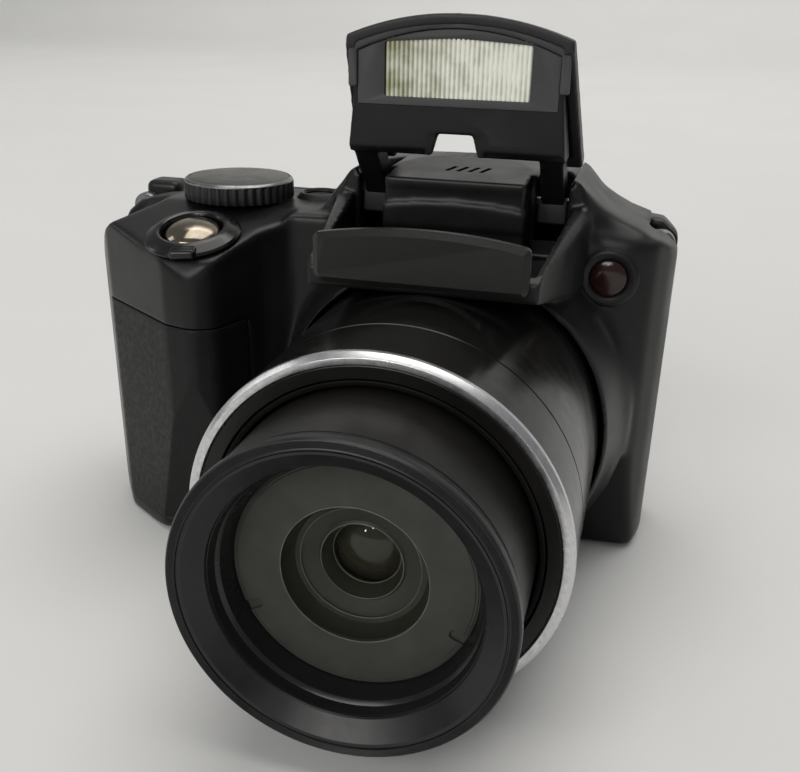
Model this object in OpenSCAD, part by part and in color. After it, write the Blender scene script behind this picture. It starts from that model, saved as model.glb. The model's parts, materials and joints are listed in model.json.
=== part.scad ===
// Bridge camera with a long zoom lens, a pop-up flash and a deep grip.
// The tripod socket mouth is the origin: lens towards -Y, grip towards -X, Z up.

/* [Body] */
// Lens axis to the grip side
axis_left = 68; // [68:0.5:72]
// Lens axis to the right side
axis_right = 36; // [35:0.5:38]
// Tripod axis to the rear face
rear_y = 14; // [13.5:0.5:17]
// Tripod axis to the right front face
front_y = 11; // [11:0.5:12.5]
// Distance by which the front is drawn back at the base
lean = 5; // [4.5:0.1:5]
// Height of the shoulders above the base
shoulder_z = 60; // [59.5:0.5:62]
// Height of the hump behind the flash
hump_z = 69.5; // [69:0.5:72]
// Thickness of the moulded covers
wall = 1.8; // [1.5:0.1:2]
// Height of the seam between front cover and top cover
seam_z = 55; // [54.6:0.2:56]
// Depth of the rear cover
rear_depth = 5; // [4.6:0.2:6]
// Clearance between pieces that are fitted by hand
fit = 0.1; // [0.05:0.05:0.15]
// Clearance around pieces that move
run_gap = 0.3; // [0.25:0.05:0.35]

/* [Grip] */
// Reach of the grip in front of the tripod axis
grip_y = 30; // [28:0.5:32]
// Foremost line of the grip, left of the lens axis
grip_x = 41; // [39:0.5:43]
// Forward slope of the grip top
grip_tilt = 15; // [12:0.5:18]
// Thickness of the grip pad
pad_t = 0.8; // [0.6:0.1:1]

/* [Lens] */
// Height of the lens axis above the base
axis_z = 27.4; // [27.3:0.1:28]
// Outer radius of the fixed barrel
barrel_r = 27; // [26.5:0.1:27.2]
// Wall of the fixed barrel
barrel_wall = 1.2; // [1:0.1:1.4]
// Tripod axis to the front of the fixed barrel
barrel_y = 62; // [58:0.5:66]
// Width of the bright trim ring
trim_w = 1.6; // [1.2:0.1:2]
// Outer radius of the front rim
rim_r = 22.6; // [22.2:0.1:22.8]
// Reach of the rim in front of the fixed barrel at the wide setting
wide_out = 15.9; // [14:0.1:17]
// Travel of the rim from the wide setting back to its parked place
park_travel = 11.7; // [10:0.1:12]
// Travel of the rim from the wide setting out to the longest setting
tele_travel = 24; // [20:0.5:25]
// Wall of the moving barrels
tube_wall = 0.7; // [0.6:0.05:0.8]
// Radius of the front glass
glass_r = 10; // [9:0.1:11]
// Radius of the flat ring around the front glass
cover_r = 16.4; // [15:0.1:17]
// Depth of the front glass behind the rim
recess = 7; // [6:0.1:8]

/* [Flash] */
// Tripod axis back to the flash hinge, towards the lens
hinge_y = 4; // [3.5:0.1:4.5]
// Drop of the flash hinge below the top of the hump
hinge_drop = 6.5; // [6.3:0.1:6.7]
// Radius of the flash hinge pin
hinge_r = 1; // [0.8:0.1:1.1]
// Half width of the flash head at its tip
head_tip = 16.8; // [16.4:0.1:17]
// Half width of the flash head at its foot
head_foot = 19.2; // [18.8:0.1:19.4]
// Half width of the flash window
window_w = 10.3; // [9.8:0.1:11]
// Height of the flash window
window_h = 7; // [6.5:0.1:7.4]

/* [Controls] */
// Radius of the mode dial
dial_r = 9.9; // [9.4:0.1:10.6]
// Height of the mode dial
dial_h = 4.1; // [3.6:0.1:4.6]
// Radius of the shutter button
button_r = 4.9; // [4.5:0.1:5.1]
// Radius of the zoom lever
lever_r = 8.2; // [7.8:0.1:8.6]
// Travel of the shutter button
button_travel = 0.8; // [0.6:0.1:0.9]
// Radius of the round rear buttons
key_r = 2.5; // [2.2:0.1:2.7]
// Radius of the four-way pad
pad_r = 9; // [8.5:0.1:9.4]
// Radius of the button inside the four-way pad
set_r = 3.7; // [3.4:0.1:4]
// How far the buttons stand out
key_out = 0.6; // [0.5:0.1:0.8]

/* [Power and display] */
// Width of the battery
battery_w = 34.4; // [33:0.2:34.6]
// Thickness of the battery
battery_t = 6.9; // [6.5:0.1:7.1]
// Height of the battery
battery_h = 41.5; // [38:0.5:43]
// Width of the display window
screen_w = 64; // [62:0.5:65]
// Height of the display window
screen_h = 47; // [46:0.5:48]
// Radius of the tripod socket thread
tripod_r = 3.175; // [3.1:0.025:3.2]
// Depth of the tripod socket
tripod_depth = 6; // [5:0.5:6.5]

/* [Hidden] */
$fn = 64;

left_x = -axis_left;
split_y = rear_y - rear_depth;
recess_y = front_y + 2;
big = 200;
turn_fn = 96;
soft_fn = 32;
corner_r = 3;
pin_fit = 0.02;
bore_fit = 0.05;

// Lens stations, measured along Y
barrel_in = barrel_r - barrel_wall;
flange_t = 1.5;
flange_back = lean - front_y + 0.5;
flange_y = flange_back - flange_t;
flange_h = 9;
flange_r = barrel_r + 1.3;
gear_t = 2;
gear_y = wall - front_y + run_gap + fit;
base_y = flange_back;
base_t = 2;
base_w = barrel_r + 1.2;
base_z = 9;
guide_x = 11.6;
guide_r = 0.5;
base_back = base_y + base_t;
middle_r = barrel_r - 3.8;
middle_in = middle_r - tube_wall;
front_r = middle_in - run_gap - fit;
front_in = front_r - tube_wall;
ring_in = middle_r + run_gap;
face_t = 1.6;
rim_y = -barrel_y - wide_out;
middle_front = -barrel_y + 0.6;
middle_rear = middle_front + barrel_y / 2;
front_rear = middle_rear - max(park_travel, tele_travel / 2) - 2 * run_gap;
glass_y = rim_y + recess;
glass_t = 2.4;
glass_bow = 1.25;
glass_front = glass_y - 0.5;
cover_t = 1.2;
inner_r = 6.2;
inner_y = glass_y + 7.4;
inner_bow = 14;
zoom_r = 12.5;
zoom_glass = 7;
focus_r = 10;
focus_glass = 6;
collar_l = 7;
groove_d = 0.3;
groove_w = 0.4;
barrel_seam = 13;
cam_r = barrel_in - run_gap;
cam_in = middle_r + run_gap;
gear_teeth = 8;
cam_teeth = 72;
cam_pitch = cam_r - 0.6;
gear_pitch = cam_pitch * gear_teeth / cam_teeth;
gear_a = 45;
gear_x = (cam_pitch + gear_pitch) * cos(gear_a);
gear_z = axis_z + (cam_pitch + gear_pitch) * sin(gear_a);
gear_shaft = 0.8;
tooth_h = 0.6;
gear_tip = gear_pitch + tooth_h * 0.6;
motor_r = 3.4;

// Grip top and shutter place
slope_y = -8;
shutter_x = -grip_x - 2.6;
shutter_y = 9.2 - grip_y;
shutter_z = shoulder_z + (shutter_y - slope_y) * tan(grip_tilt);
dial_x = -grip_x - 1.4;
dial_y = shutter_y + lever_r + dial_r - 0.5;
dial_z = shoulder_z + run_gap;
dial_stem = 2.6;
dial_clip = 1.1;
clip_low = 1.4;
dial_edge = 0.6;
dome_r = 14;
dome_out = 2;
tab_w = 2.4;
tab_out = 1.4;
tab_z = 2.2;
grooves = 36;
groove_r = 0.45;
hub_r = lever_r - 1.2;
hub_low = wall + 0.8;
lever_t = 1.7;
disc_low = 1.6;
stem_r = 1.5;
stem_low = 4;
switch_z = stem_low + button_travel + 2 * fit;
switch_t = 1;
switch_w = 4.6;
post_y = lever_r + 1.4;
power_x = 12.2 - grip_x;
power_y = 2.8;
power_r = 2.7;

// Flash head places with the head raised
hinge_z = hump_z - hinge_drop;
tip_y = -18.2;
tip_z = hump_z + 22.9;
head_y = -17.2;
head_low = hump_z + 2.1;
head_t = 1.6;
cover_low = hump_z + 7;
foot_y = -2.5;
foot_z = hump_z + 0.9;
window_z = hump_z + 11.5;
tube_r = 0.8;
tube_y = head_y + 2.7;
tube_z = window_z + 1.3;
arm_mid = 15;
arm_t = 3.8;
arm_r = 2.6;
pin_l = 19.6;
arm_gap = 0.7;
head_arch = 46;
head_foot_t = 6.2;
notch_w = 4.2;
notch_h = 3.4;
ribs = 15;
rib_r = 0.36;
rib_sink = 0.28;
pocket_front = 36.2;
pocket_rear = 9.3;
pocket_z = barrel_r + axis_z + 0.6;
ledge_z = hinge_z + 0.6;
tongue_w = 11.5;
tongue_y = 13.6;
tongue_lip = 2.6;
tongue_wall = 1.4;
vent_step = 1.9;
vent_w = 0.7;
vent_l = 3.2;
vent_turn = -20;
sweep_r = norm([tongue_y + tongue_lip - hinge_y, hump_z - 1.6 - hinge_z]) + run_gap;
slot_in = arm_mid - arm_t / 2 - arm_gap;
slot_out = arm_mid + arm_t / 2 + arm_gap;
slot_back = 1.4;
nose_y = 38;
nose_w = 17.2;
nose_low = seam_z - 4;
hump_w = 23;
collar_w = 26;
visor_w = 15.8;
visor_gap = 2;
visor_low = axis_z + barrel_r + visor_gap;
visor_h = 8.5;
visor_top = visor_low + visor_h;
visor_arch = 86;
nose_top = visor_low + 2.8;
visor_t = 1.8;

// Power and display places
holder_t = 1;
bat_x = left_x + wall + holder_t + 1;
bat_y = -6.1;
bat_z = wall + 0.4;
door_x0 = bat_x - holder_t - 0.4;
door_x1 = -30.9;
door_y0 = -8.4;
door_y1 = 6;
door_z = wall / 2;
door_pin_r = 0.5;
plate_x0 = -26;
plate_x1 = 31;
plate_y0 = -4.2;
plate_z = wall + 1.2;
screw_r = 0.8;
screw_sink = 0.2;
screw_head = 0.9;
screw_slot = 0.4;
head_r = 1.5;
socket_rim = 0.55;
boss_r = tripod_r + 1;
board_z0 = 10;
screen_x = axis_right - 34.5;
panel_t = 3.4;
screen_z = 29.5;
screen_t = 1.1;
screen_lip = 2;
keys_x = left_x + 18.5;
keys_z = 22;
key_dx = 8;
key_dz = 15;
key_gap = 0.8;
key_brim = 0.8;
term_z0 = 20;
term_z1 = 42;
term_y0 = -0.6;
term_y1 = split_y - 1.4;
term_t = 1.2;
lug_t = 2.2;
lug_r = 2.6;
lug_hole = 1.3;
lug_in = 3;
lug_z = shoulder_z - 4.4;
lug_room = 0.7;
lug_gap = 3.2;
lug_wall = 1.2;
lug_y = min(split_y, rear_y - wall - panel_t) - lug_gap - lug_wall - 2 * fit;
board_x = axis_right - lug_in - lug_r - lug_room - lug_wall - run_gap;
tab_a = 12;
lamp_x = 25.4;
lamp_z = 52.9;
lamp_r = 3.6;
lamp_dome = 8;
lamp_out = 1;

module box(a, b) {
    translate(a)
        cube(b - a);
}

module rod_x(x0, x1, y, z, r) {
    translate([x0, y, z])
        rotate([0, 90, 0])
            cylinder(r = r, h = x1 - x0);
}

module rod_y(x, y0, y1, z, r) {
    translate([x, y0, z])
        rotate([-90, 0, 0])
            cylinder(r = r, h = y1 - y0);
}

module rod_z(x, y, z0, z1, r) {
    translate([x, y, z0])
        cylinder(r = r, h = z1 - z0);
}

// A profile of radius and Y, turned about the lens axis
module lens_turn() {
    translate([0, 0, axis_z])
        rotate([-90, 0, 0])
            rotate_extrude($fn = turn_fn)
                children();
}

module lens_tube(ro, ri, y0, y1) {
    lens_turn()
        polygon([[ri, y0], [ro, y0], [ro, y1], [ri, y1]]);
}

module lens_rod(r, y0, y1) {
    rod_y(0, y0, y1, axis_z, r, $fn = turn_fn);
}

// A Y-Z outline drawn along X
module side_form(x0, x1) {
    translate([x0, 0, 0])
        rotate([90, 0, 90])
            linear_extrude(x1 - x0)
                children();
}

// An X-Z outline drawn along Y
module front_form(y0, y1) {
    translate([0, y1, 0])
        rotate([90, 0, 0])
            linear_extrude(y1 - y0)
                children();
}

module soften(r) {
    offset(r = -r, $fn = soft_fn)
        offset(r = 2 * r, $fn = soft_fn)
            offset(r = -r, $fn = soft_fn)
                children();
}

// Outline of the body from above, with the grip at the left
module body_plan() {
    soften(corner_r)
        polygon([[axis_right, rear_y], [left_x + 2, rear_y], [left_x, rear_y - 8], [left_x, -9],
            [left_x + 5.5, -17], [-grip_x - 5, 1.5 - grip_y], [-grip_x, -grip_y],
            [4 - grip_x, 2 - grip_y], [-33, -recess_y - 4], [-29, -recess_y], [-20, -recess_y],
            [-18, -front_y], [29, -front_y], [32.4, 1.5 - front_y], [axis_right - 1, -5],
            [axis_right, -2]]);
}

// Side outline of the grip, with its sloping top and leaning front
module grip_side() {
    soften(2)
        polygon([[rear_y, 0], [rear_y, shoulder_z - 3], [rear_y - 3, shoulder_z], [slope_y, shoulder_z],
            [2 - grip_y, shoulder_z + (2 - grip_y - slope_y) * tan(grip_tilt)],
            [-grip_y - 1, shoulder_z - 10], [-grip_y - 1, 40], [6 - grip_y, 0]]);
}

// Front outline of the grip, with its rounded left shoulder
module grip_front() {
    soften(1.5)
        polygon([[left_x + 1.5, 0], [-20, 0], [-20, shoulder_z + 5], [left_x + 13, shoulder_z + 5],
            [left_x + 13, shoulder_z - 0.4], [left_x + 7, shoulder_z - 3], [left_x + 2.4, shoulder_z - 6.4],
            [left_x, shoulder_z - 10.5], [left_x, 3]]);
}

// Side outline of the right half, with its front drawn back towards the base
module right_side() {
    soften(2)
        polygon([[rear_y, 0], [rear_y, shoulder_z], [-grip_y, shoulder_z], [-grip_y, 40],
            [-front_y - 1, 34], [lean - front_y, 0]]);
}

// Front outline of the right shoulder
module shoulder_front() {
    soften(1.5)
        polygon([[-30, 0], [-30, shoulder_z], [24, shoulder_z], [axis_right - 3, shoulder_z - 1],
            [axis_right, shoulder_z - 3.5], [axis_right, 2], [axis_right - 2, 0]]);
}

// Body without the hump, drawn in by a wall when needed
module body_form(inset) {
    intersection() {
        linear_extrude(big)
            offset(delta = -inset)
                body_plan();
        union() {
            intersection() {
                side_form(left_x - 1, -22 - inset)
                    offset(delta = -inset)
                        grip_side();
                front_form(-grip_y - 1, rear_y + 1)
                    offset(delta = -inset)
                        grip_front();
            }
            intersection() {
                side_form(-32, axis_right + 1)
                    offset(delta = -inset)
                        right_side();
                front_form(-grip_y, rear_y + 1)
                    offset(delta = -inset)
                        shoulder_front();
            }
        }
    }
}

module hump_plan(inset) {
    offset(delta = -inset)
        polygon([[-nose_w, -nose_y], [nose_w, -nose_y], [hump_w - 1.5, -front_y], [hump_w, 0],
            [hump_w, rear_y],
            [-hump_w, rear_y], [-hump_w, 0], [1.5 - hump_w, -front_y]]);
}

// Side outline of the hump: nose, ledge beside the flash and rear crown
module hump_side(inset) {
    offset(delta = -inset)
        polygon([[rear_y, seam_z], [rear_y, hump_z - 6], [9, hump_z - 1.4], [3, hump_z],
            [-pocket_rear, hump_z - 1.2], [-pocket_rear, ledge_z], [-pocket_front, nose_top],
            [-nose_y, nose_top - 1], [-nose_y, visor_low - 1], [-front_y - 8, nose_low], [-front_y, nose_low],
            [-front_y, seam_z]]);
}

// Front outline of the hump, arched over the flash
module hump_front(inset) {
    offset(delta = -inset)
        polygon([[-hump_w - 1, nose_low], [-hump_w + 1, ledge_z], [-17, hump_z - 2], [-9, hump_z - 0.5],
            [0, hump_z], [9, hump_z - 0.5], [17, hump_z - 2], [hump_w - 1, ledge_z], [hump_w + 1, nose_low]]);
}

module hump_form(inset) {
    intersection() {
        linear_extrude(big)
            hump_plan(inset);
        side_form(-hump_w - 2, hump_w + 2)
            hump_side(inset);
        front_form(-nose_y - 1, rear_y + 1)
            hump_front(inset);
    }
}

// Tongue of the hump that reaches forward between the flash arms
module hump_tongue() {
    intersection() {
        side_form(-tongue_w, tongue_w)
            polygon([[0, seam_z], [0, hump_z - 0.5], [-tongue_y - tongue_lip, hump_z - 1.6],
                [-tongue_y - tongue_lip, hump_z - 3], [-tongue_y, hump_z - 4], [-tongue_y, seam_z]]);
        front_form(-nose_y, rear_y)
            hump_front(0);
    }
}

// Round opening under the zoom lever
module lever_hole() {
    on_slope()
        rod_z(0, 0, -hub_low - run_gap, 4, hub_r + run_gap);
}

// Place of the shutter button on the sloping grip top
module on_slope() {
    translate([shutter_x, shutter_y, shutter_z])
        rotate([grip_tilt, 0, 0])
            children();
}

module rear_key(x, z, r) {
    rod_y(x, rear_y - wall - key_gap, rear_y + key_out, z, r);
    rod_y(x, rear_y - wall - key_gap - key_brim, rear_y - wall - key_gap, z, r + key_brim);
}

module rear_key_hole(x, z, r) {
    rod_y(x, rear_y - wall - 1, rear_y + 1, z, r + run_gap);
}

// Open corners that leave room for a strap at the lugs
module lug_pockets() {
    for (x = [axis_right - lug_in, left_x + lug_in])
        translate([x, lug_y, lug_z])
            box([-lug_r - lug_room - (x < 0 ? big : 0), -lug_gap, -lug_r],
                [lug_r + lug_room + (x > 0 ? big : 0), lug_gap, big]);
}

// Everything in front of the rear cover that lies above the seam of the top cover
module above_seam() {
    side_form(-big, -20)
        polygon([[split_y, seam_z], [split_y, big], [-big, big],
            [-big, seam_z + (recess_y - big) * tan(grip_tilt)], [-recess_y, seam_z]]);
    box([-20, -big, seam_z], [big, split_y, big]);
}

// Solid corners round the strap lugs
module lug_blocks() {
    intersection() {
        body_form(0);
        for (x = [axis_right - lug_in, left_x + lug_in])
            translate([x, lug_y, lug_z])
                box([-lug_r - lug_room - lug_wall, -lug_gap - lug_wall, -lug_r - lug_wall],
                    [lug_r + lug_room + lug_wall, lug_gap + lug_wall, big]);
    }
}

// Front shell: grip front, face right of the lens and collar round the barrel
module front_cover() {
    color("#1b1b1d")
        difference() {
            union() {
                difference() {
                    body_form(0);
                    body_form(wall);
                    box([-big, split_y, -1], [big, big, big]);
                }
                lug_blocks();
                lens_turn()
                    polygon([[barrel_r - 1, -front_y - collar_l], [barrel_r + 0.9, -front_y - collar_l],
                        [barrel_r + 2.2, -front_y], [barrel_r + 2.2, wall - front_y],
                            [barrel_r - 1, wall - front_y]]);
            }
            above_seam();
            box([-collar_w, -big, nose_low], [collar_w, -recess_y, big]);
            box([-big, -big, -big], [big, big, 0]);
            hump_form(-fit);
            lens_rod(barrel_r + fit, -big, flange_back + fit);
            box([plate_x0 - fit, plate_y0 - fit, -1], [plate_x1 + fit, split_y + 1, wall + fit]);
            box([door_x0 - run_gap, door_y0 - run_gap, -1],
                [door_x1 + door_z + run_gap, door_y1 + run_gap, wall + fit]);
            rod_y(door_x1, door_y0 - 1.5, door_y1 + 1.5, door_z, door_pin_r + pin_fit);
            lever_hole();
            pad_form(fit, 1);
            rod_y(lamp_x, -front_y - 1, -front_y + wall + 1, lamp_z, lamp_r + fit);
            box([axis_right - term_t - fit, term_y0 - run_gap, term_z0 - run_gap],
                [axis_right + 1, term_y1 + run_gap + 0.6, term_z1 + run_gap]);
            box([axis_right - wall - 1, 0, term_z0 + 1.5], [axis_right, term_y1 - 1, term_z1 - 1.5]);
            lug_pockets();
        }
}

// Grip pad: a thin moulded skin set into the grip front below the seam
module pad_form(gap, over) {
    intersection() {
        difference() {
            body_form(-over);
            body_form(pad_t + gap);
        }
        box([left_x - 2, -big, 3 - gap], [-34.5 + gap, -16 + gap, 43 + gap]);
    }
}

module grip_pad() {
    color("#151516")
        pad_form(0, 0);
}

// Rear shell with the display window and the holes for the buttons
module rear_cover() {
    color("#19191b")
        difference() {
            intersection() {
                body_form(0);
                box([-big, split_y, 0], [big, big, big]);
            }
            body_form(wall);
            hump_form(-fit);
            translate([screen_x, 0, screen_z])
                box([screen_lip - screen_w / 2, 0, screen_lip - screen_h / 2],
                    [screen_w / 2 - screen_lip, big, screen_h / 2 - screen_lip]);
            translate([screen_x, 0, screen_z])
                box([-screen_w / 2 - fit, rear_y - screen_t, -screen_h / 2 - fit],
                    [screen_w / 2 + fit, big, screen_h / 2 + fit]);
            rod_z(power_x, power_y, seam_z, big, power_r + run_gap);
            rear_key_hole(keys_x, keys_z, pad_r);
            rear_key_hole(keys_x - key_dx, keys_z + key_dz, key_r);
            rear_key_hole(keys_x + key_dx, keys_z + key_dz, key_r);
            rear_key_hole(keys_x - key_dx, keys_z - key_dz, key_r);
            rear_key_hole(keys_x + key_dx, keys_z - key_dz, key_r);
            lug_pockets();
        }
}

// Top shell: shoulders, hump and the bed that takes the closed flash
module top_cover() {
    color("#1d1d1f")
        difference() {
            union() {
                difference() {
                    intersection() {
                        body_form(0);
                        above_seam();
                    }
                    body_form(wall);
                }
                intersection() {
                    lug_blocks();
                    above_seam();
                }
                hump_form(0);
                hump_tongue();
            }
            intersection() {
                hump_form(wall);
                union() {
                    box([tongue_wall - slot_in, tongue_wall - tongue_y, seam_z],
                        [slot_in - tongue_wall, big, big]);
                    box([-big, slot_back + 1.2, seam_z], [big, big, big]);
                }
            }
            box([tongue_wall - slot_in, tongue_wall - tongue_y, seam_z],
                [slot_in - tongue_wall, 0, hump_z - 5]);
            intersection() {
                body_form(wall);
                box([-big, wall - front_y, 0], [big, split_y, big]);
            }
            flash_bed();
            lens_rod(barrel_r + fit, -big, flange_back);
            rod_x(-pin_l - 2 * fit, pin_l + 2 * fit, -hinge_y, hinge_z, hinge_r + pin_fit);
            rod_z(dial_x, dial_y, seam_z, big, dial_stem + bore_fit);
            rod_z(power_x, power_y, seam_z, big, power_r + run_gap);
            rod_y(lamp_x, -front_y - 1, -front_y + wall + 1, lamp_z, lamp_r + fit);
            lever_hole();
            lug_pockets();
            for (i = [-1.5:1:1.5])
                translate([i * vent_step, 1, hump_z - 3])
                    rotate([0, 0, vent_turn])
                        translate([-vent_w / 2, -vent_l / 2, 0])
                            cube([vent_w, vent_l, 4]);
        }
}

// Space for the closed flash head and for its arms
module flash_bed() {
    difference() {
        translate([0, 0, pocket_z])
            linear_extrude(big)
                polygon([[0.5 - head_tip, -pocket_front], [head_tip - 0.5, -pocket_front],
                    [head_foot - 0.6, -pocket_rear], [0.6 - head_foot, -pocket_rear]]);
        box([-tongue_w - 0.01, -tongue_y, 0], [tongue_w + 0.01, big, big]);
        hump_tongue();
    }
    for (s = [-1, 1])
        translate([s * arm_mid, 0, 0])
            box([(slot_in - slot_out) / 2, -tongue_y - 1, hinge_z - 5],
                [(slot_out - slot_in) / 2, slot_back, big]);
}

// Bottom plate under the lens
module base_plate() {
    color("#202022")
        difference() {
            box([plate_x0, plate_y0, 0], [plate_x1, split_y - fit, wall]);
            rod_z(0, 0, -1, wall + 1, tripod_r + 0.6);
            screw_places()
                screw_form(fit);
        }
}

module screw_places() {
    for (p = [[-20, -1.6], [24, -1.6], [-20, 6], [24, 6]])
        translate([p[0], p[1], 0])
            children();
}

module screw_form(gap) {
    rod_z(0, 0, screw_sink - gap, screw_sink + screw_head, head_r + gap);
    rod_z(0, 0, screw_sink, plate_z + 0.6, screw_r + gap);
}

module case_screws() {
    color("#55565a")
        screw_places()
            difference() {
                screw_form(0);
                for (a = [0, 90])
                    rotate([0, 0, a])
                        box([-screw_slot * 2, -screw_slot / 2, 0],
                            [screw_slot * 2, screw_slot / 2, screw_sink + screw_slot]);
            }
}

// Bare visor plate over the lens, arched along its top
module visor() {
    color("#161617")
        front_form(-nose_y - visor_t, -nose_y)
            intersection() {
                translate([-visor_w, visor_low])
                    square([2 * visor_w, visor_h]);
                translate([0, visor_top - visor_arch])
                    circle(r = visor_arch, $fn = 180);
            }
}

// Red window of the focus lamp
module af_lamp() {
    color("#3a1412")
        intersection() {
            rod_y(lamp_x, -front_y - 0.9, -front_y + wall, lamp_z, lamp_r);
            translate([lamp_x, lamp_dome - lamp_out - front_y, lamp_z])
                sphere(r = lamp_dome, $fn = turn_fn);
        }
}

// Metal loop for a strap, standing in its open corner
module strap_lugs() {
    color("#8a8b8e")
        for (x = [axis_right - lug_in, left_x + lug_in])
            difference() {
                union() {
                    rod_y(x, lug_y - lug_t / 2, lug_y + lug_t / 2, lug_z, lug_r);
                    box([x - lug_r, lug_y - lug_t / 2, lug_z - lug_r], [x + lug_r, lug_y + lug_t / 2, lug_z]);
                }
                rod_y(x, lug_y - lug_t, lug_y + lug_t, lug_z, lug_hole);
            }
}

// Soft flap over the sockets on the right side
module terminal_cover() {
    color("#1a1a1c") {
        box([axis_right - term_t, term_y0, term_z0], [axis_right, term_y1, term_z1]);
        rod_z(axis_right - term_t / 2, term_y1, term_z0, term_z1, term_t / 2);
    }
}

module terminal_sockets() {
    color("#9a9ba0")
        difference() {
            box([board_x, 0.4, term_z0 + 2], [axis_right - wall - 0.1, term_y1 - 1.4, term_z1 - 2]);
            box([axis_right - wall - 4, 1.4, term_z0 + 3.5], [axis_right, 4.8, term_z0 + 9]);
            box([axis_right - wall - 4, 1.4, term_z0 + 11], [axis_right, 4.4, term_z0 + 18.5]);
        }
}

// Fixed barrel with its flange behind the front cover
module fixed_barrel() {
    color("#0f0f10")
        difference() {
            union() {
                lens_tube(barrel_r, barrel_in, -barrel_y + face_t, flange_back);
                intersection() {
                    lens_tube(flange_r, barrel_in, flange_y, flange_back);
                    box([-big, -big, axis_z - flange_h], [big, big, axis_z + flange_h]);
                }
            }
            rod_y(gear_x, gear_y - run_gap, flange_back + 1, gear_z, gear_tip + run_gap);
            lens_tube(barrel_r + 1, barrel_r - groove_d, barrel_seam - barrel_y - groove_w,
                barrel_seam - barrel_y);
        }
}

module barrel_trim_ring() {
    color("#c9cacc")
        lens_turn()
            polygon([[barrel_r - trim_w, -barrel_y], [barrel_r - 0.4, -barrel_y],
                [barrel_r + 0.2, -barrel_y + 0.6], [barrel_r + 0.2, -barrel_y + face_t],
                [barrel_r - trim_w, -barrel_y + face_t]]);
}

// Black face inside the trim ring, sloping in to the moving barrels
module barrel_front_ring() {
    color("#121213")
        lens_turn()
            polygon([[ring_in, -barrel_y + 1], [barrel_r - trim_w, -barrel_y + 0.2],
                [barrel_r - trim_w, -barrel_y + face_t + 0.8], [ring_in, -barrel_y + face_t + 0.8]]);
}

// Middle barrel with the inward flange that carries the zoom lenses
module middle_barrel() {
    color("#161617") {
        lens_tube(middle_r, middle_in, middle_front, middle_rear);
        lens_tube(middle_r, zoom_r, middle_rear, middle_rear + 1.2);
    }
}

module zoom_group() {
    color("#2a2a2c")
        lens_tube(zoom_r, zoom_glass, middle_rear - 1, middle_rear + 7);
    color("#7f8fa0")
        lens_turn()
            polygon([[0, middle_rear + 0.2], [zoom_glass, middle_rear + 1.6],
                [zoom_glass, middle_rear + 5], [0, middle_rear + 6]]);
}

module front_barrel() {
    color("#141415")
        lens_tube(front_r, front_in, rim_y + 2.6, front_rear);
}

// Front rim: grooved lip, cone and step down to the cover ring
module front_rim() {
    color("#18181a")
        lens_turn()
            polygon([[rim_r - 0.5, rim_y], [rim_r, rim_y + 0.5], [rim_r, rim_y + 2.6],
                [front_in, rim_y + 2.6],
                [front_in, glass_y + cover_t], [cover_r, glass_y + cover_t],
                [cover_r, glass_y - 1.6], [cover_r + 1.2, glass_y - 2.4],
                [cover_r + 1.6, rim_y + 2.4], [rim_r - 2, rim_y]]);
}

module lens_cover_ring() {
    color("#3b3f3d")
        lens_turn()
            polygon([[glass_r, glass_y - 0.2], [cover_r, glass_y - 0.2], [cover_r, glass_y + cover_t],
                [glass_r, glass_y + cover_t]]);
}

module front_glass() {
    color("#20262b")
        lens_turn()
            polygon(concat([[0, glass_y + glass_t], [glass_r, glass_y + glass_t]],
                [for (i = [8:-1:0]) [glass_r * i / 8, glass_front + glass_bow * pow(i / 8, 2)]]));
}

// Stepped tube behind the front glass
module inner_baffle() {
    color("#101011")
        lens_turn()
            polygon([[glass_r, glass_y + cover_t], [cover_r, glass_y + cover_t],
                [cover_r, glass_y + 3], [front_in, glass_y + 3],
                [front_in, glass_y + 5], [glass_r + 1, glass_y + 5], [glass_r + 1, glass_y + 9],
                    [inner_r, glass_y + 9],
                [inner_r, glass_y + 7.8], [8, glass_y + 7.8], [8, glass_y + 5.2], [glass_r, glass_y + 5.2]]);
}

module second_lens() {
    color("#2b3440")
        intersection() {
            lens_rod(inner_r, inner_y - 0.4, inner_y + 2.2);
            translate([0, inner_y + inner_bow, axis_z])
                sphere(r = inner_bow, $fn = turn_fn);
        }
}

// Toothed rim of a gear, drawn flat
module gear_form(pitch, teeth, depth) {
    step = 360 / teeth;
    union() {
        circle(r = pitch - depth, $fn = turn_fn);
        for (i = [0:teeth - 1])
            rotate(i * step)
                polygon([[0, -pitch * sin(step * 0.2)], [pitch - depth, -pitch * sin(step * 0.2)],
                    [pitch + depth * 0.6, -pitch * sin(step * 0.09)],
                    [pitch + depth * 0.6, pitch * sin(step * 0.09)],
                    [pitch - depth, pitch * sin(step * 0.2)], [0, pitch * sin(step * 0.2)]]);
    }
}

// Turning ring inside the fixed barrel, with its toothed rear rim
module cam_ring() {
    color("#3a3a3d") {
        lens_tube(cam_r, cam_in, -barrel_y + face_t + 2, gear_y);
        translate([0, gear_y, axis_z])
            rotate([-90, 0, 0])
                linear_extrude(gear_t)
                    difference() {
                        rotate(180 / cam_teeth - gear_a)
                            gear_form(cam_pitch, cam_teeth, tooth_h);
                        circle(r = cam_in, $fn = turn_fn);
                    }
    }
}

module zoom_gear() {
    color("#d8d2c0")
        translate([gear_x, gear_y, gear_z])
            rotate([-90, 0, 0])
                linear_extrude(gear_t)
                    difference() {
                        rotate(180 - gear_a)
                            gear_form(gear_pitch, gear_teeth, tooth_h);
                        circle(r = gear_shaft + bore_fit);
                    }
}

module zoom_motor() {
    color("#a8a9ad") {
        rod_y(gear_x, base_back, base_back + 10, gear_z, motor_r);
        rod_y(gear_x, gear_y, base_back, gear_z, gear_shaft);
    }
}

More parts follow.
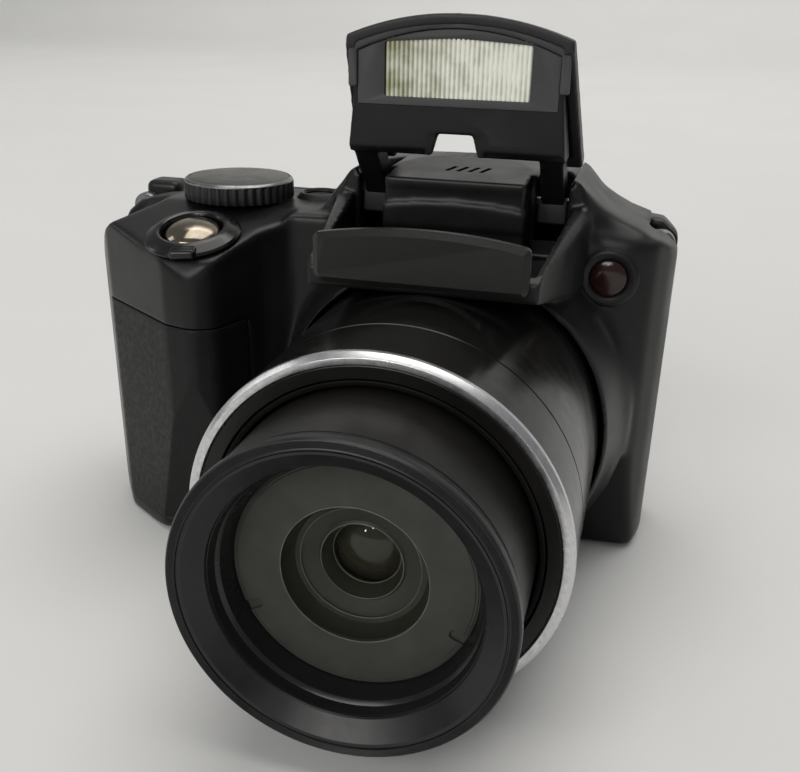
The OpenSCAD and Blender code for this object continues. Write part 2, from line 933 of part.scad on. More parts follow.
// Rear plate of the lens unit, with the two rods that guide the focus group
module lens_base() {
    color("#2e2e31")
        difference() {
            union() {
                box([-base_w, base_y, base_z], [base_w, base_back, seam_z - 1]);
                for (s = [-1, 1])
                    rod_y(s * guide_x, base_y - 9, base_y, axis_z, guide_r);
            }
            box([-5, base_y - 1, axis_z - 4], [5, base_back + 1, axis_z + 4]);
            rod_y(gear_x, base_y - 1, base_back + 1, gear_z, gear_shaft + 0.1);
        }
}

module focus_group() {
    color("#2a2a2c")
        difference() {
            union() {
                lens_rod(focus_r, base_y - 5, base_y - run_gap);
                box([-guide_x - 1.4, base_y - 5, axis_z - 1.4], [guide_x + 1.4, base_y - 3, axis_z + 1.4]);
            }
            lens_rod(focus_glass, base_y - 6, base_y);
            for (s = [-1, 1])
                rod_y(s * guide_x, base_y - 6, base_y, axis_z, guide_r + bore_fit);
        }
    color("#7f8fa0")
        lens_turn()
            polygon([[0, base_y - 4.6], [focus_glass, base_y - 3.4], [focus_glass, base_y - 1.6],
                [0, base_y - 0.6]]);
}

module sensor_unit() {
    color("#6d7a6a")
        box([-11, base_back, axis_z - 10], [11, base_back + 1.2, axis_z + 10]);
    color("#39424a")
        box([-8, base_back + 1.2, axis_z - 7], [8, base_back + 3, axis_z + 7]);
}

module chassis() {
    color("#9b9da1")
        difference() {
            union() {
                box([-26, base_back + 3, plate_z + fit], [board_x, base_back + 4, seam_z - 1]);
                for (p = [[-23, 12], [board_x - 3, 12], [-23, 50], [board_x - 3, 50]])
                    rod_y(p[0], base_back + 4, base_back + 5.6, p[1], 1.6);
            }
            rod_y(gear_x, base_back, base_back + 10, gear_z, motor_r + fit);
            screw_places()
                screw_form(run_gap);
            box([-boss_r - 1, -big, 0], [boss_r + 1, big, tripod_depth + 4]);
        }
}

module main_board() {
    color("#2f5a3c")
        difference() {
            box([-26, base_back + 5.6, board_z0], [board_x, base_back + 6.8, seam_z - 1]);
            rod_y(gear_x, base_back, base_back + 11, gear_z, motor_r + fit);
        }
    color("#1c1c1e") {
        box([-12, base_back + 6.8, 20], [0, base_back + 7.8, 32]);
        box([5, base_back + 6.8, 16], [15, base_back + 7.8, 24]);
        box([-20, base_back + 6.8, 36], [-12, base_back + 7.8, 44]);
    }
}

module lcd_panel() {
    color("#b9bcc0")
        translate([screen_x, 0, screen_z])
            box([-screen_w / 2 - 1, rear_y - wall - panel_t, -screen_h / 2 - 0.5],
                [screen_w / 2 - 2, rear_y - wall, screen_h / 2 + 0.5]);
}

module lcd_window() {
    color("#0b0d10")
        translate([screen_x, 0, screen_z])
            box([-screen_w / 2, rear_y - screen_t, -screen_h / 2], [screen_w / 2, rear_y, screen_h / 2]);
}

// Open box that guides the battery and the card
module battery_holder() {
    color("#262629")
        difference() {
            box([bat_x - holder_t, bat_y - holder_t, wall + fit],
                [bat_x + battery_w + holder_t, bat_y + battery_t + 3.8 + holder_t, bat_z + battery_h + 1.6]);
            box([bat_x - fit, bat_y - fit, 0],
                [bat_x + battery_w + fit, bat_y + battery_t + fit, bat_z + battery_h + 0.6]);
            box([bat_x + 4, bat_y + battery_t + 1, 0], [bat_x + 28.2, bat_y + battery_t + 3.3, 36]);
        }
}

module battery() {
    color("#3c3e42")
        box([bat_x, bat_y, bat_z], [bat_x + battery_w, bat_y + battery_t, bat_z + battery_h]);
}

module memory_card() {
    color("#20304a")
        box([bat_x + 4.1, bat_y + battery_t + 1.1, bat_z + 1],
            [bat_x + 28.1, bat_y + battery_t + 3.2, bat_z + 33]);
}

// Door under the battery, hinged beside the lens
module battery_door() {
    color("#1c1c1e")
        difference() {
            union() {
                box([door_x0, door_y0, 0], [door_x1, door_y1, wall]);
                rod_y(door_x1, door_y0, door_y1, door_z, door_z);
            }
            rod_y(door_x1, door_y0 - 1, door_y1 + 1, door_z, door_pin_r + bore_fit);
        }
}

module door_pin() {
    color("#b5b6b9")
        rod_y(door_x1, door_y0 - 1.4, door_y1 + 1.4, door_z, door_pin_r);
}

module flash_capacitor() {
    color("#26262c")
        rod_z(-47, bat_y - holder_t - 4.85, wall + 2, wall + 34, 4.8);
}

module speaker() {
    color("#333337")
        rod_z(0, 3.5, hump_z - wall - 4.3, hump_z - wall - 1.3, 4);
}

// Threaded bush with the plate that spreads its load
module tripod_bush() {
    color("#8e9094")
        difference() {
            union() {
                box([plate_x0 + 1, plate_y0 + 0.4, wall], [plate_x1 - 1, split_y - 0.6, plate_z]);
                rod_z(0, 0, 0, tripod_depth + 1.4, tripod_r + socket_rim);
                rod_z(0, 0, wall, tripod_depth + 1.4, boss_r);
            }
            rod_z(0, 0, -1, tripod_depth, tripod_r);
            screw_places()
                rod_z(0, 0, 0, plate_z + 1, screw_r + fit / 2);
        }
}

// Grooved dial on its stem, kept by a clip below the cover
module mode_dial() {
    color("#26262a")
        translate([dial_x, dial_y, 0]) {
            difference() {
                rod_z(0, 0, dial_z, dial_z + dial_h, dial_r, $fn = turn_fn);
                for (i = [0:grooves - 1])
                    rotate(i * 360 / grooves)
                        rod_z(dial_r + 0.1, 0, dial_z - 1, dial_z + dial_h - dial_edge, groove_r, $fn = 24);
            }
            rod_z(0, 0, shoulder_z - wall - clip_low, dial_z, dial_stem);
            rod_z(0, 0, shoulder_z - wall - clip_low, shoulder_z - wall - run_gap, dial_stem + dial_clip);
        }
}

module shutter_button() {
    color("#cfd0d2")
        on_slope() {
            intersection() {
                rod_z(0, 0, -disc_low, dome_out + 1, button_r);
                translate([0, 0, dome_out - dome_r])
                    sphere(r = dome_r, $fn = turn_fn);
            }
            rod_z(0, 0, -stem_low, -disc_low, stem_r);
        }
}

module shutter_spring() {
    color("#c0c1c4")
        on_slope()
            difference() {
                rod_z(0, 0, -switch_z + fit, -disc_low - button_travel - fit, stem_r + 1.1);
                rod_z(0, 0, -9, 0, stem_r + run_gap);
            }
}

// Switch board under the shutter button, hung from the top cover
module release_board() {
    color("#2f5a3c")
        on_slope() {
            box([-switch_w, -3.5, -switch_z - switch_t], [switch_w, post_y + 1, -switch_z]);
            for (s = [-1, 1])
                rod_z(s * (switch_w - 1), post_y, -switch_z, -wall - fit, 0.8);
        }
}

// Zoom lever: ring round the shutter button with a finger tab in front
module zoom_lever() {
    color("#101012")
        on_slope()
            difference() {
                union() {
                    rod_z(0, 0, run_gap, lever_t, lever_r);
                    rod_z(0, 0, -hub_low, run_gap, hub_r);
                    rotate(tab_a)
                        box([-tab_w, -lever_r - tab_out, run_gap], [tab_w, -lever_r + 1, tab_z]);
                }
                rod_z(0, 0, -9, 9, button_r + run_gap);
            }
}

module power_button() {
    color("#1a1a1c") {
        rod_z(power_x, power_y, shoulder_z - wall - key_gap, shoulder_z + 0.3, power_r);
        rod_z(power_x, power_y, shoulder_z - wall - key_gap - key_brim, shoulder_z - wall - key_gap,
            power_r + 1);
    }
}

module movie_button() {
    color("#1a1a1c")
        rear_key(keys_x + key_dx, keys_z + key_dz, key_r);
}

module playback_button() {
    color("#1a1a1c")
        rear_key(keys_x - key_dx, keys_z + key_dz, key_r);
}

module exposure_button() {
    color("#1a1a1c")
        rear_key(keys_x + key_dx, keys_z - key_dz, key_r);
}

module menu_button() {
    color("#1a1a1c")
        rear_key(keys_x - key_dx, keys_z - key_dz, key_r);
}

module four_way_pad() {
    color("#232326")
        difference() {
            rear_key(keys_x, keys_z, pad_r);
            rod_y(keys_x, 0, big, keys_z, set_r + run_gap);
        }
}

module set_button() {
    color("#1a1a1c")
        rod_y(keys_x, rear_y - wall - key_gap - key_brim, rear_y + key_out + 0.2, keys_z, set_r);
}

// Outline of the flash head from the front, narrow at the tip
module head_front(inset) {
    offset(delta = -inset)
        intersection() {
            polygon([[-head_tip, tip_z + 1], [head_tip, tip_z + 1], [head_foot, foot_z - 1],
                [-head_foot, foot_z - 1]]);
            translate([0, tip_z - head_arch])
                circle(r = head_arch, $fn = 160);
        }
}

// Outer shell of the flash head, which closes the hump
module flash_cover() {
    color("#1b1b1d")
        difference() {
            intersection() {
                side_form(-25, 25)
                    polygon([[tip_y, tip_z + 1], [foot_y, foot_z], [foot_y - 3.4, foot_z - 1.4],
                        [head_y + 1.6, tip_z - 9], [tip_y, tip_z - 5]]);
                front_form(-40, 10)
                    head_front(0);
            }
            box([-slot_in, -40, 0], [slot_in, 10, cover_low]);
            intersection() {
                side_form(-25, 25)
                    polygon([[tip_y - 1, tip_z - 1.4], [tip_y + 1.6, tip_z - 1.4],
                        [foot_y - head_t - 1, foot_z - 0.6],
                        [foot_y - 9, foot_z - 9], [tip_y - 1, tip_z - 20]]);
                front_form(-40, 10)
                    head_front(head_t);
            }
        }
}

// Inner case of the flash head with its two arms
module flash_case() {
    color("#151516")
        difference() {
            union() {
                intersection() {
                    side_form(-head_foot, head_foot)
                        polygon([[head_y + 1, head_low], [head_y, head_low + 1], [head_y, tip_z - 1.8],
                            [tip_y + 1.7, tip_z - 1.8], [foot_y - head_t - head_foot_t, head_low + 1.6],
                            [foot_y - head_t - head_foot_t, head_low]]);
                    front_form(-40, 10)
                        head_front(head_t + fit);
                }
                for (s = [-1, 1])
                    side_form(s * arm_mid - arm_t / 2, s * arm_mid + arm_t / 2)
                        polygon([[head_y + 1, head_low + 1], [foot_y - head_t - head_foot_t, head_low + 1],
                            [-hinge_y + 1.6, hinge_z + 1.6], [-hinge_y + 1.6, hinge_z - 1.6],
                            [-hinge_y - 2, hinge_z - 1.6]]);
                for (s = [-1, 1])
                    rod_x(s * arm_mid - arm_t / 2, s * arm_mid + arm_t / 2, -hinge_y, hinge_z, arm_r);
            }
            box([-window_w - 1, head_y - 1, window_z - 0.6],
                [window_w + 1, head_y + 6, window_z + window_h + 0.6]);
            rod_x(-big, big, -hinge_y, hinge_z, hinge_r + bore_fit);
            rod_x(-tongue_w - 0.5, tongue_w + 0.5, -hinge_y, hinge_z, sweep_r);
            box([-notch_w, head_y - 1, head_low - 1], [notch_w, big, head_low + notch_h]);
        }
}

// Ribbed clear window
module flash_window() {
    color("#e6e2cf")
        difference() {
            box([-window_w - 0.9, head_y, window_z - 0.5],
                [window_w + 0.9, head_y + 1.4, window_z + window_h + 0.5]);
            for (i = [-ribs:ribs])
                translate([i * window_w / (ribs + 0.5), head_y - rib_sink, 0])
                    rod_z(0, 0, window_z, window_z + window_h, rib_r, $fn = 16);
        }
}

module flash_reflector() {
    color("#d5d6d8")
        difference() {
            side_form(-window_w - 0.9, window_w + 0.9)
                polygon([[head_y + 1.4, window_z - 0.5], [head_y + 1.4, window_z + window_h + 0.3],
                    [head_y + 1.7, window_z + window_h + 0.3], [head_y + 5.7, window_z - 0.5]]);
            side_form(-window_w, window_w)
                polygon([[head_y + 1, window_z], [head_y + 1, window_z + window_h - 0.4],
                    [head_y + 4.9, window_z]]);
            rod_x(-window_w - 0.7, window_w + 0.7, tube_y, tube_z, tube_r + pin_fit);
        }
}

module flash_tube() {
    color("#dfe6ea")
        rod_x(-window_w - 0.6, window_w + 0.6, tube_y, tube_z, tube_r);
}

module flash_pin() {
    color("#b5b6b9")
        rod_x(-pin_l, pin_l, -hinge_y, hinge_z, hinge_r);
}

// Torsion spring wound on the hinge pin
module flash_spring() {
    color("#c0c1c4")
        difference() {
            rod_x(slot_in - 6.4, slot_in - 1.6, -hinge_y, hinge_z, hinge_r + 1);
            rod_x(-big, big, -hinge_y, hinge_z, hinge_r + 0.1);
        }
}

front_cover();
rear_cover();
top_cover();
base_plate();
grip_pad();
visor();
af_lamp();
strap_lugs();
terminal_cover();
terminal_sockets();
fixed_barrel();
barrel_trim_ring();
barrel_front_ring();
middle_barrel();
zoom_group();
front_barrel();
front_rim();
lens_cover_ring();
front_glass();
inner_baffle();
second_lens();
cam_ring();
zoom_gear();
zoom_motor();
lens_base();
focus_group();
sensor_unit();
chassis();
main_board();
lcd_panel();
lcd_window();
battery_holder();
battery();
memory_card();
battery_door();
door_pin();
flash_capacitor();
speaker();
tripod_bush();
case_screws();
mode_dial();
shutter_button();
shutter_spring();
release_board();
zoom_lever();
power_button();
movie_button();
playback_button();
exposure_button();
menu_button();
four_way_pad();
set_button();
flash_cover();
flash_case();
flash_window();
flash_reflector();
flash_tube();
flash_pin();
flash_spring();
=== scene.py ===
import json
import math

import bpy
import numpy as np
from mathutils import Matrix, Vector

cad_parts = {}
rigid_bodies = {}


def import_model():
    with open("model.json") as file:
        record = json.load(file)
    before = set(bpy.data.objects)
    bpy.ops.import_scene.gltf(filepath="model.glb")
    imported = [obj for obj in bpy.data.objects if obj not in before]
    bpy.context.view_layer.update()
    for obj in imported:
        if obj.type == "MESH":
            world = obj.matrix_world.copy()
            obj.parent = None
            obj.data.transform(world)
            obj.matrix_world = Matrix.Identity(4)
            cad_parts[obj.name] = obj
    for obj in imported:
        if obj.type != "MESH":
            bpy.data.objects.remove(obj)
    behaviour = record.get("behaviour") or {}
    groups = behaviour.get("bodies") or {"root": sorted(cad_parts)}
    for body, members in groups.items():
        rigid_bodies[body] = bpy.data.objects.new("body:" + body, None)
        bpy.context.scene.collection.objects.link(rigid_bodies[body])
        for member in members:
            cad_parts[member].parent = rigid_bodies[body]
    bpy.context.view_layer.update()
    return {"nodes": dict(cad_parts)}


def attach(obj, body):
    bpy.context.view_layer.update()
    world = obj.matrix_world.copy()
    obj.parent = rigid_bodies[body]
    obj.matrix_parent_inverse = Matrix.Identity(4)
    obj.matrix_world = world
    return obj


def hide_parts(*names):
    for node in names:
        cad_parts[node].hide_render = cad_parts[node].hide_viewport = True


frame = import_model()


# Studio floor: a wide sheet of pale matt card under the camera, curved up behind it.
# It is smooth card with a faint mottle, lit by the soft lamps below.
floor_colour = (0.66, 0.66, 0.65)
floor_size, floor_shift, floor_gap = 6, -1.6, -0.0001
sweep_bend, bend_step, wall_high = 10, 0.094, 1.6


def pick(*pieces):
    if bpy.context.object and bpy.context.object.mode != "OBJECT":
        bpy.ops.object.mode_set(mode="OBJECT")
    bpy.ops.object.select_all(action="DESELECT")
    for piece in pieces:
        piece.select_set(True)
    bpy.context.view_layer.objects.active = pieces[0]


def new_finish(name):
    finish = bpy.data.materials.new(name)
    finish.use_nodes = True
    return finish, finish.node_tree, finish.node_tree.nodes["Principled BSDF"]


def add_node(tree, kind, **values):
    made = tree.nodes.new("ShaderNode" + kind)
    for key, value in values.items():
        key = key.replace("_", " ")
        if key in made.inputs:
            made.inputs[key].default_value = value
        else:
            setattr(made, key.replace(" ", "_"), value)
    return made


def spread(tree, source, low, high, start=0.3, end=0.7):
    turned_to = add_node(tree, "MapRange", From_Min=start, From_Max=end, To_Min=low, To_Max=high)
    tree.links.new(source, turned_to.inputs["Value"])
    return turned_to.outputs[0]


def two_tones(tree, factor, first, second):
    mixed = add_node(tree, "Mix", data_type="RGBA")
    tree.links.new(factor, mixed.inputs[0])
    mixed.inputs[6].default_value = (*first, 1)
    mixed.inputs[7].default_value = (*second, 1)
    return mixed.outputs[2]


def mottle(tree, scale, detail=3.0, stretch=(1, 1, 1)):
    place = add_node(tree, "TexCoord")
    laid = add_node(tree, "Mapping", Scale=stretch)
    cloud = add_node(tree, "TexNoise", Scale=scale, Detail=detail)
    tree.links.new(place.outputs["Object"], laid.inputs["Vector"])
    tree.links.new(laid.outputs[0], cloud.inputs["Vector"])
    return cloud.outputs[0]


def coloured(tree, shader, pattern, first, second):
    tree.links.new(two_tones(tree, spread(tree, pattern, 0, 1), first, second), shader.inputs["Base Color"])


def roughened(tree, shader, pattern, low, high):
    tree.links.new(spread(tree, pattern, low, high), shader.inputs["Roughness"])


def pebble(tree, shader, height, strength, depth):
    bump = add_node(tree, "Bump", Strength=strength, Distance=depth)
    tree.links.new(height, bump.inputs["Height"])
    tree.links.new(bump.outputs[0], shader.inputs["Normal"])


pick(bpy.data.objects[0])
bpy.ops.mesh.primitive_plane_add(size=floor_size, location=(0, floor_shift, floor_gap))
floor = bpy.context.object
floor.name = "studio_floor"
bpy.ops.object.transform_apply(location=True, rotation=True, scale=True)
bpy.ops.object.mode_set(mode="EDIT")
bpy.ops.mesh.select_mode(type="EDGE")
bpy.ops.mesh.select_all(action="DESELECT")
bpy.ops.object.mode_set(mode="OBJECT")
for edge in floor.data.edges:
    edge.select = all(floor.data.vertices[v].co.y > 0 for v in edge.vertices)
bpy.ops.object.mode_set(mode="EDIT")
for step in range(sweep_bend):
    turn = math.radians(90 * (step + 0.5) / sweep_bend)
    rise = (0, bend_step * math.cos(turn), bend_step * math.sin(turn))
    bpy.ops.mesh.extrude_region_move(TRANSFORM_OT_translate={"value": rise})
bpy.ops.mesh.extrude_region_move(TRANSFORM_OT_translate={"value": (0, 0, wall_high)})
bpy.ops.mesh.select_mode(type="VERT")
bpy.ops.object.mode_set(mode="OBJECT")
bpy.ops.object.shade_smooth_by_angle(angle=math.radians(40))
card, tree, shader = new_finish("pale_card")
coloured(tree, shader, mottle(tree, 9), [c * 0.97 for c in floor_colour], floor_colour)
shader.inputs["Roughness"].default_value = 0.75
shader.inputs["Specular IOR Level"].default_value = 0.2
floor.data.materials.append(card)


# Studio light: a grey room, one wide lamp overhead, soft lamps at the sides and a lamp in front.
# The lamp in front stands a little to the left and lights the rim and the flash window.
# Two small low lamps give the glints in the second lens.
room = bpy.data.worlds.new("grey_room")
bpy.context.scene.world = room
room.use_nodes = True
room.node_tree.nodes["Background"].inputs["Color"].default_value = (0.94, 0.97, 1.0, 1)
room.node_tree.nodes["Background"].inputs["Strength"].default_value = 0.22


def soft_lamp(name, watts, wide, high, spot, aim=(0, -0.03, 0.04), colour=(1, 0.98, 0.95)):
    data = bpy.data.lights.new(name, "AREA")
    data.shape = "RECTANGLE"
    data.size, data.size_y, data.energy, data.color = wide, high, watts, colour
    lamp = bpy.data.objects.new(name, data)
    lamp.location = spot
    lamp.rotation_euler = (Vector(aim) - Vector(spot)).to_track_quat("-Z", "Y").to_euler()
    lamp.visible_camera = False
    bpy.context.scene.collection.objects.link(lamp)


soft_lamp("overhead", 26, 1.8, 1.8, (0.1, 0.3, 2.0), (0, 0.3, 0))
soft_lamp("front_fill", 6.5, 0.9, 0.5, (-0.33, -1.1, 0.72))
soft_lamp("left_side", 0.9, 0.3, 0.6, (-1.0, -0.1, 0.5))
soft_lamp("right_side", 0.3, 0.3, 0.6, (1.0, 0.25, 0.5))
soft_lamp("small_spot_1", 0.25, 0.04, 0.04, (-0.30, -0.90, 0.22))
soft_lamp("small_spot_2", 0.25, 0.04, 0.04, (-0.08, -0.95, 0.36))
soft_lamp("back_wash", 14, 1.8, 0.4, (0, 0.7, 1.7), (0, 2.0, 0.9))
bpy.context.scene.view_settings.view_transform = "Standard"


# Viewpoint: in front of the lens, to its right and above it, looking down at the camera.
# The frame is 800 by 772 picture elements.
view_data = bpy.data.cameras.new("viewpoint")
view_data.sensor_width = 36
view_data.lens = 44.245
view_data.shift_x = 0.00725
view_data.shift_y = 0.06225
view_data.clip_start = 0.01
viewpoint = bpy.data.objects.new("viewpoint", view_data)
viewpoint.matrix_world = (Matrix.Translation((0.03119, -0.17202, 0.09617))
                          @ Matrix.Rotation(math.radians(14.45), 4, "Z")
                          @ Matrix.Rotation(math.radians(-24.71), 4, "X")
                          @ Matrix.Rotation(math.radians(-1.12), 4, "Y")
                          @ Matrix.Rotation(math.radians(90.0), 4, "X"))
bpy.context.scene.collection.objects.link(viewpoint)
bpy.context.scene.camera = viewpoint


# Top cover: shoulders, hump and flash bed, moulded in fine-grained black plastic.
# It is screwed down on the front cover; both are shaped here as one skin and parted at the seam.
cover_black = (0.0075, 0.0078, 0.0080)
lens_axis, grip_slope = 27.4, math.radians(15)
lever_spot, dial_spot, power_spot = Vector((-43.6, -20.8, 56.57)), (-42.4, -3.2, 0), (-28.8, 2.8, 0)
lamp_spot, left_lug, right_lug = (25.4, 52.9), (-65, 4.2), (33, 4.2)
riser_back, hump_front, hump_back = -13.0, -9.0, 10.6
vent_middle, vent_pitch, vent_lean = (0.8, -8.3), 1.9, math.radians(-20)
seam_level, seam_bend, seam_front = 55, -13, -60


def applied(piece, kind, **settings):
    pick(piece)
    step = piece.modifiers.new(kind.lower(), kind)
    for key, value in settings.items():
        setattr(step, key, value)
    bpy.ops.object.modifier_apply(modifier=step.name)


def solid_copy(*nodes):
    copies = []
    for node in nodes:
        mesh = frame["nodes"][node].data.copy()
        mesh.transform(Matrix.Scale(1000, 4))
        copies.append(bpy.data.objects.new(node + "_copy", mesh))
        bpy.context.scene.collection.objects.link(copies[-1])
    pick(*copies)
    if len(copies) > 1:
        bpy.ops.object.join()
    bpy.ops.object.mode_set(mode="EDIT")
    bpy.ops.mesh.select_all(action="SELECT")
    bpy.ops.mesh.remove_doubles(threshold=0.004)
    bpy.ops.mesh.customdata_custom_splitnormals_clear()
    bpy.ops.object.mode_set(mode="OBJECT")
    return copies[0]


def block(low, high, ease=0.0, steps=3):
    middle = [(a + b) / 2 for a, b in zip(low, high)]
    bpy.ops.object.select_all(action="DESELECT")
    bpy.ops.mesh.primitive_cube_add(size=1, location=middle)
    made = bpy.context.object
    made.scale = [b - a for a, b in zip(low, high)]
    pick(made)
    bpy.ops.object.transform_apply(location=True, rotation=True, scale=True)
    if ease:
        applied(made, "BEVEL", width=ease, segments=steps, limit_method="NONE")
    return made


def outline_loop(places):
    """A closed loop of edges through the given places."""
    bpy.ops.object.select_all(action="DESELECT")
    bpy.ops.mesh.primitive_circle_add(vertices=len(places), fill_type="NOTHING")
    loop = bpy.context.object
    for vertex, place in zip(loop.data.vertices, places):
        vertex.co = place
    return loop


def drawn_plate(outline, low, high, axis="Y"):
    """A flat outline drawn out between two stations along one axis."""
    def at(p, q, s):
        return {"X": (s, p, q), "Y": (p, s, q), "Z": (p, q, s)}[axis]
    made = outline_loop([at(p, q, low) for p, q in outline])
    pick(made)
    bpy.ops.object.mode_set(mode="EDIT")
    bpy.ops.mesh.select_all(action="SELECT")
    bpy.ops.mesh.edge_face_add()
    bpy.ops.mesh.extrude_region_move(TRANSFORM_OT_translate={"value": at(0, 0, high - low)})
    bpy.ops.mesh.select_all(action="SELECT")
    bpy.ops.mesh.normals_make_consistent(inside=False)
    bpy.ops.object.mode_set(mode="OBJECT")
    return made


def melt(piece, grid, passes, extras=(), zones=(), keep=1.0):
    """The moulded form: one skin over the joined solids, its edges rounded by smoothing."""
    if extras:
        pick(piece, *extras)
        bpy.ops.object.join()
    applied(piece, "REMESH", mode="VOXEL", voxel_size=grid, adaptivity=0)
    applied(piece, "SMOOTH", factor=0.5, iterations=passes)
    spots = np.empty(len(piece.data.vertices) * 3)
    piece.data.vertices.foreach_get("co", spots)
    for softness, soft_passes in zones:
        amount = np.round(softness(spots.reshape(-1, 3)) * 8) / 8
        group = piece.vertex_groups.new(name="soft")
        for level in np.unique(amount):
            if level > 0:
                group.add(np.nonzero(amount == level)[0].tolist(), float(level), "REPLACE")
        applied(piece, "SMOOTH", factor=0.5, iterations=soft_passes, vertex_group="soft")
        piece.vertex_groups.clear()
    if keep < 1:
        applied(piece, "DECIMATE", ratio=keep)


def settle(piece, name, body, slot, finish, *nodes, angle=40):
    """Millimetres become metres; the piece gets its finish and goes on its body."""
    piece.data.transform(Matrix.Scale(0.001, 4))
    pick(piece)
    bpy.ops.object.shade_smooth_by_angle(angle=math.radians(angle))
    piece.name = piece.data.name = name
    piece.data.materials.clear()
    piece.data.materials.append(finish)
    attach(piece, body)
    if nodes:
        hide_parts(*nodes)


def moulded(name, colour, rough, grain, depth, specular=0.4, worn=0.5):
    """Moulded plastic: spark-eroded grain, cloudy gloss and edges rubbed a little paler."""
    finish, tree, shader = new_finish(name)
    cloud = mottle(tree, 140, 4)
    fine = mottle(tree, 1 / grain, 2)
    tone = two_tones(tree, spread(tree, cloud, 0, 1), [c * 0.8 for c in colour], [c * 1.2 for c in colour])
    rubbed = add_node(tree, "Mix", data_type="RGBA")
    edge = spread(tree, add_node(tree, "NewGeometry").outputs["Pointiness"], 0, worn, 0.515, 0.6)
    tree.links.new(edge, rubbed.inputs[0])
    tree.links.new(tone, rubbed.inputs[6])
    rubbed.inputs[7].default_value = (*[c * 2.2 + 0.01 for c in colour], 1)
    tree.links.new(rubbed.outputs[2], shader.inputs["Base Color"])
    roughened(tree, shader, cloud, rough - 0.05, rough + 0.06)
    shader.inputs["Specular IOR Level"].default_value = specular
    pebble(tree, shader, fine, depth, 0.00006)
    return finish


def ramp(way, width):
    return np.clip(way / width, 0, 1)


def clear_of(p, q, spot, radius, width):
    """Nothing at a fitting, rising to one outside it."""
    return ramp(np.hypot(p - spot[0], q - spot[1]) - radius, width)


def grip_softness(spots):
    x, y, z = spots.T
    near = ramp(-26 - x, 5) * clear_of(x, y, lever_spot, 7.5, 1.0)
    near *= ramp(z - 44, 4) * np.clip((x + 64) / 10, 0.3, 1)
    lug, stem = clear_of(x, y, left_lug, 5.5, 3), clear_of(x, y, dial_spot, 3.4, 1.5)
    return near * lug * stem * clear_of(x, y, power_spot, 4.5, 2) * ramp(8.4 - y, 3)


def hump_softness(spots):
    x, y, z = spots.T
    across = np.abs(x)
    bed_wall = 17.3 + 0.0855 * (y + 36.2)
    near = ramp(across - bed_wall, 1.2) * ramp(30 - across, 3)
    near *= ramp(z - 34, 6) * ramp(67 - z, 2) * ramp(5 - y, 4)
    return near * clear_of(x, z, lamp_spot, 4.8, 1.5) * clear_of(x, y, power_spot, 4.5, 2)


def shoulder_softness(spots):
    x, y, z = spots.T
    near = ramp(x - 20, 2) * ramp(33 - x, 3) * ramp(3 - y, 3)
    return near * clear_of(x, z, lamp_spot, 4.8, 1.5) * ramp(z - 50, 3)


def collar_softness(spots):
    x, y, z = spots.T
    r = np.hypot(x, z - lens_axis)
    near = ramp(r - 28.5, 0.8) * ramp(38 - r, 3) * ramp(-8.5 - y, 1.5)
    return near * clear_of(x, z, lamp_spot, 4.8, 1.5) * ramp(54 - z, 3)


def side_softness(spots):
    x, y, z = spots.T
    near = ramp(x - 28, 3) * ramp(8 - y, 3)
    lug = np.where(z > 50, clear_of(x, y, right_lug, 4.5, 2), 1)
    flap = np.where((z > 17) & (z < 45) & (y > -3), 0, 1)
    return near * lug * flap


def foot_softness(spots):
    x, y, z = spots.T
    return ramp(6 - z, 4) * ramp(2 - y, 4)


def flare(start, end):
    """Part of the soft collar that rises from the face to the barrel."""
    profile = [(27.6, -21.0), (28.0, -21.2), (28.4, -20.9), (28.9, -18.9), (29.6, -16.2), (30.4, -13.6),
               (31.3, -11.7), (32.0, -11.0), (32.0, -10.4), (27.6, -10.4)]
    made = outline_loop([(r * math.cos(start), y, lens_axis + r * math.sin(start)) for r, y in profile])
    pick(made)
    bpy.ops.object.mode_set(mode="EDIT")
    bpy.ops.mesh.select_all(action="SELECT")
    bpy.ops.mesh.spin(steps=48, angle=end - start, center=(0, 0, lens_axis), axis=(0, 1, 0))
    bpy.ops.mesh.select_all(action="SELECT")
    bpy.ops.mesh.fill_holes(sides=0)
    bpy.ops.mesh.normals_make_consistent(inside=False)
    bpy.ops.object.mode_set(mode="OBJECT")
    return made


def arch(half, middle, drop, low, count=12):
    top = [(half - 2 * half * i / count, middle - drop * (1 - 2 * i / count) ** 2) for i in range(count + 1)]
    return [(-half, low), (half, low)] + top


body_black = moulded("body_black", cover_black, 0.34, 0.00028, 0.25, 0.27, 0.2)
upper_step = drawn_plate(arch(11.4, 67.6, 0.5, 56), -16.1, riser_back)
lower_step = drawn_plate(arch(11.7, 64.4, 0.9, 60.2), -16.6, riser_back)
last_step = drawn_plate(arch(11.7, 61.4, 1.0, 58.2), -15.9, riser_back)
right_line = [(18.2, 68.0), (19.4, 67.3), (22.2, 64.2), (24.4, 62.8), (27.2, 61.4), (31, 60.1), (31, 59.2),
              (18.2, 59.2)]
right_flank = drawn_plate(right_line, hump_front, hump_back)
left_line = [(-18.2, 68.0), (-18.2, 59.2), (-24.8, 59.2), (-24.8, 60.3), (-23.8, 62.0), (-22.2, 64.0),
             (-19.4, 67.3)]
left_flank = drawn_plate(left_line, hump_front, hump_back)
ear = block((-66.2, 5.4, 53.0), (-59.0, 11.6, 60.2), 1.4, 4)
cheek_line = [(-54, 59.4), (-58, 59.2), (-61, 58.6), (-63.4, 57.8), (-65.6, 56.0), (-67.0, 53.6), (-67.8, 49.8),
              (-58, 49.8)]
cheek = drawn_plate(cheek_line, -3.0, 3.0)
applied(cheek, "BEVEL", width=0.9, segments=3, limit_method="ANGLE", angle_limit=math.radians(60))
vent_line = [(-1.4, 66.5), (3.4, 66.5), (3.4, 69.42), (2, 69.3), (-1.4, 68.98)]
vent_fill = drawn_plate(vent_line, -5.4, 5.4, "X")
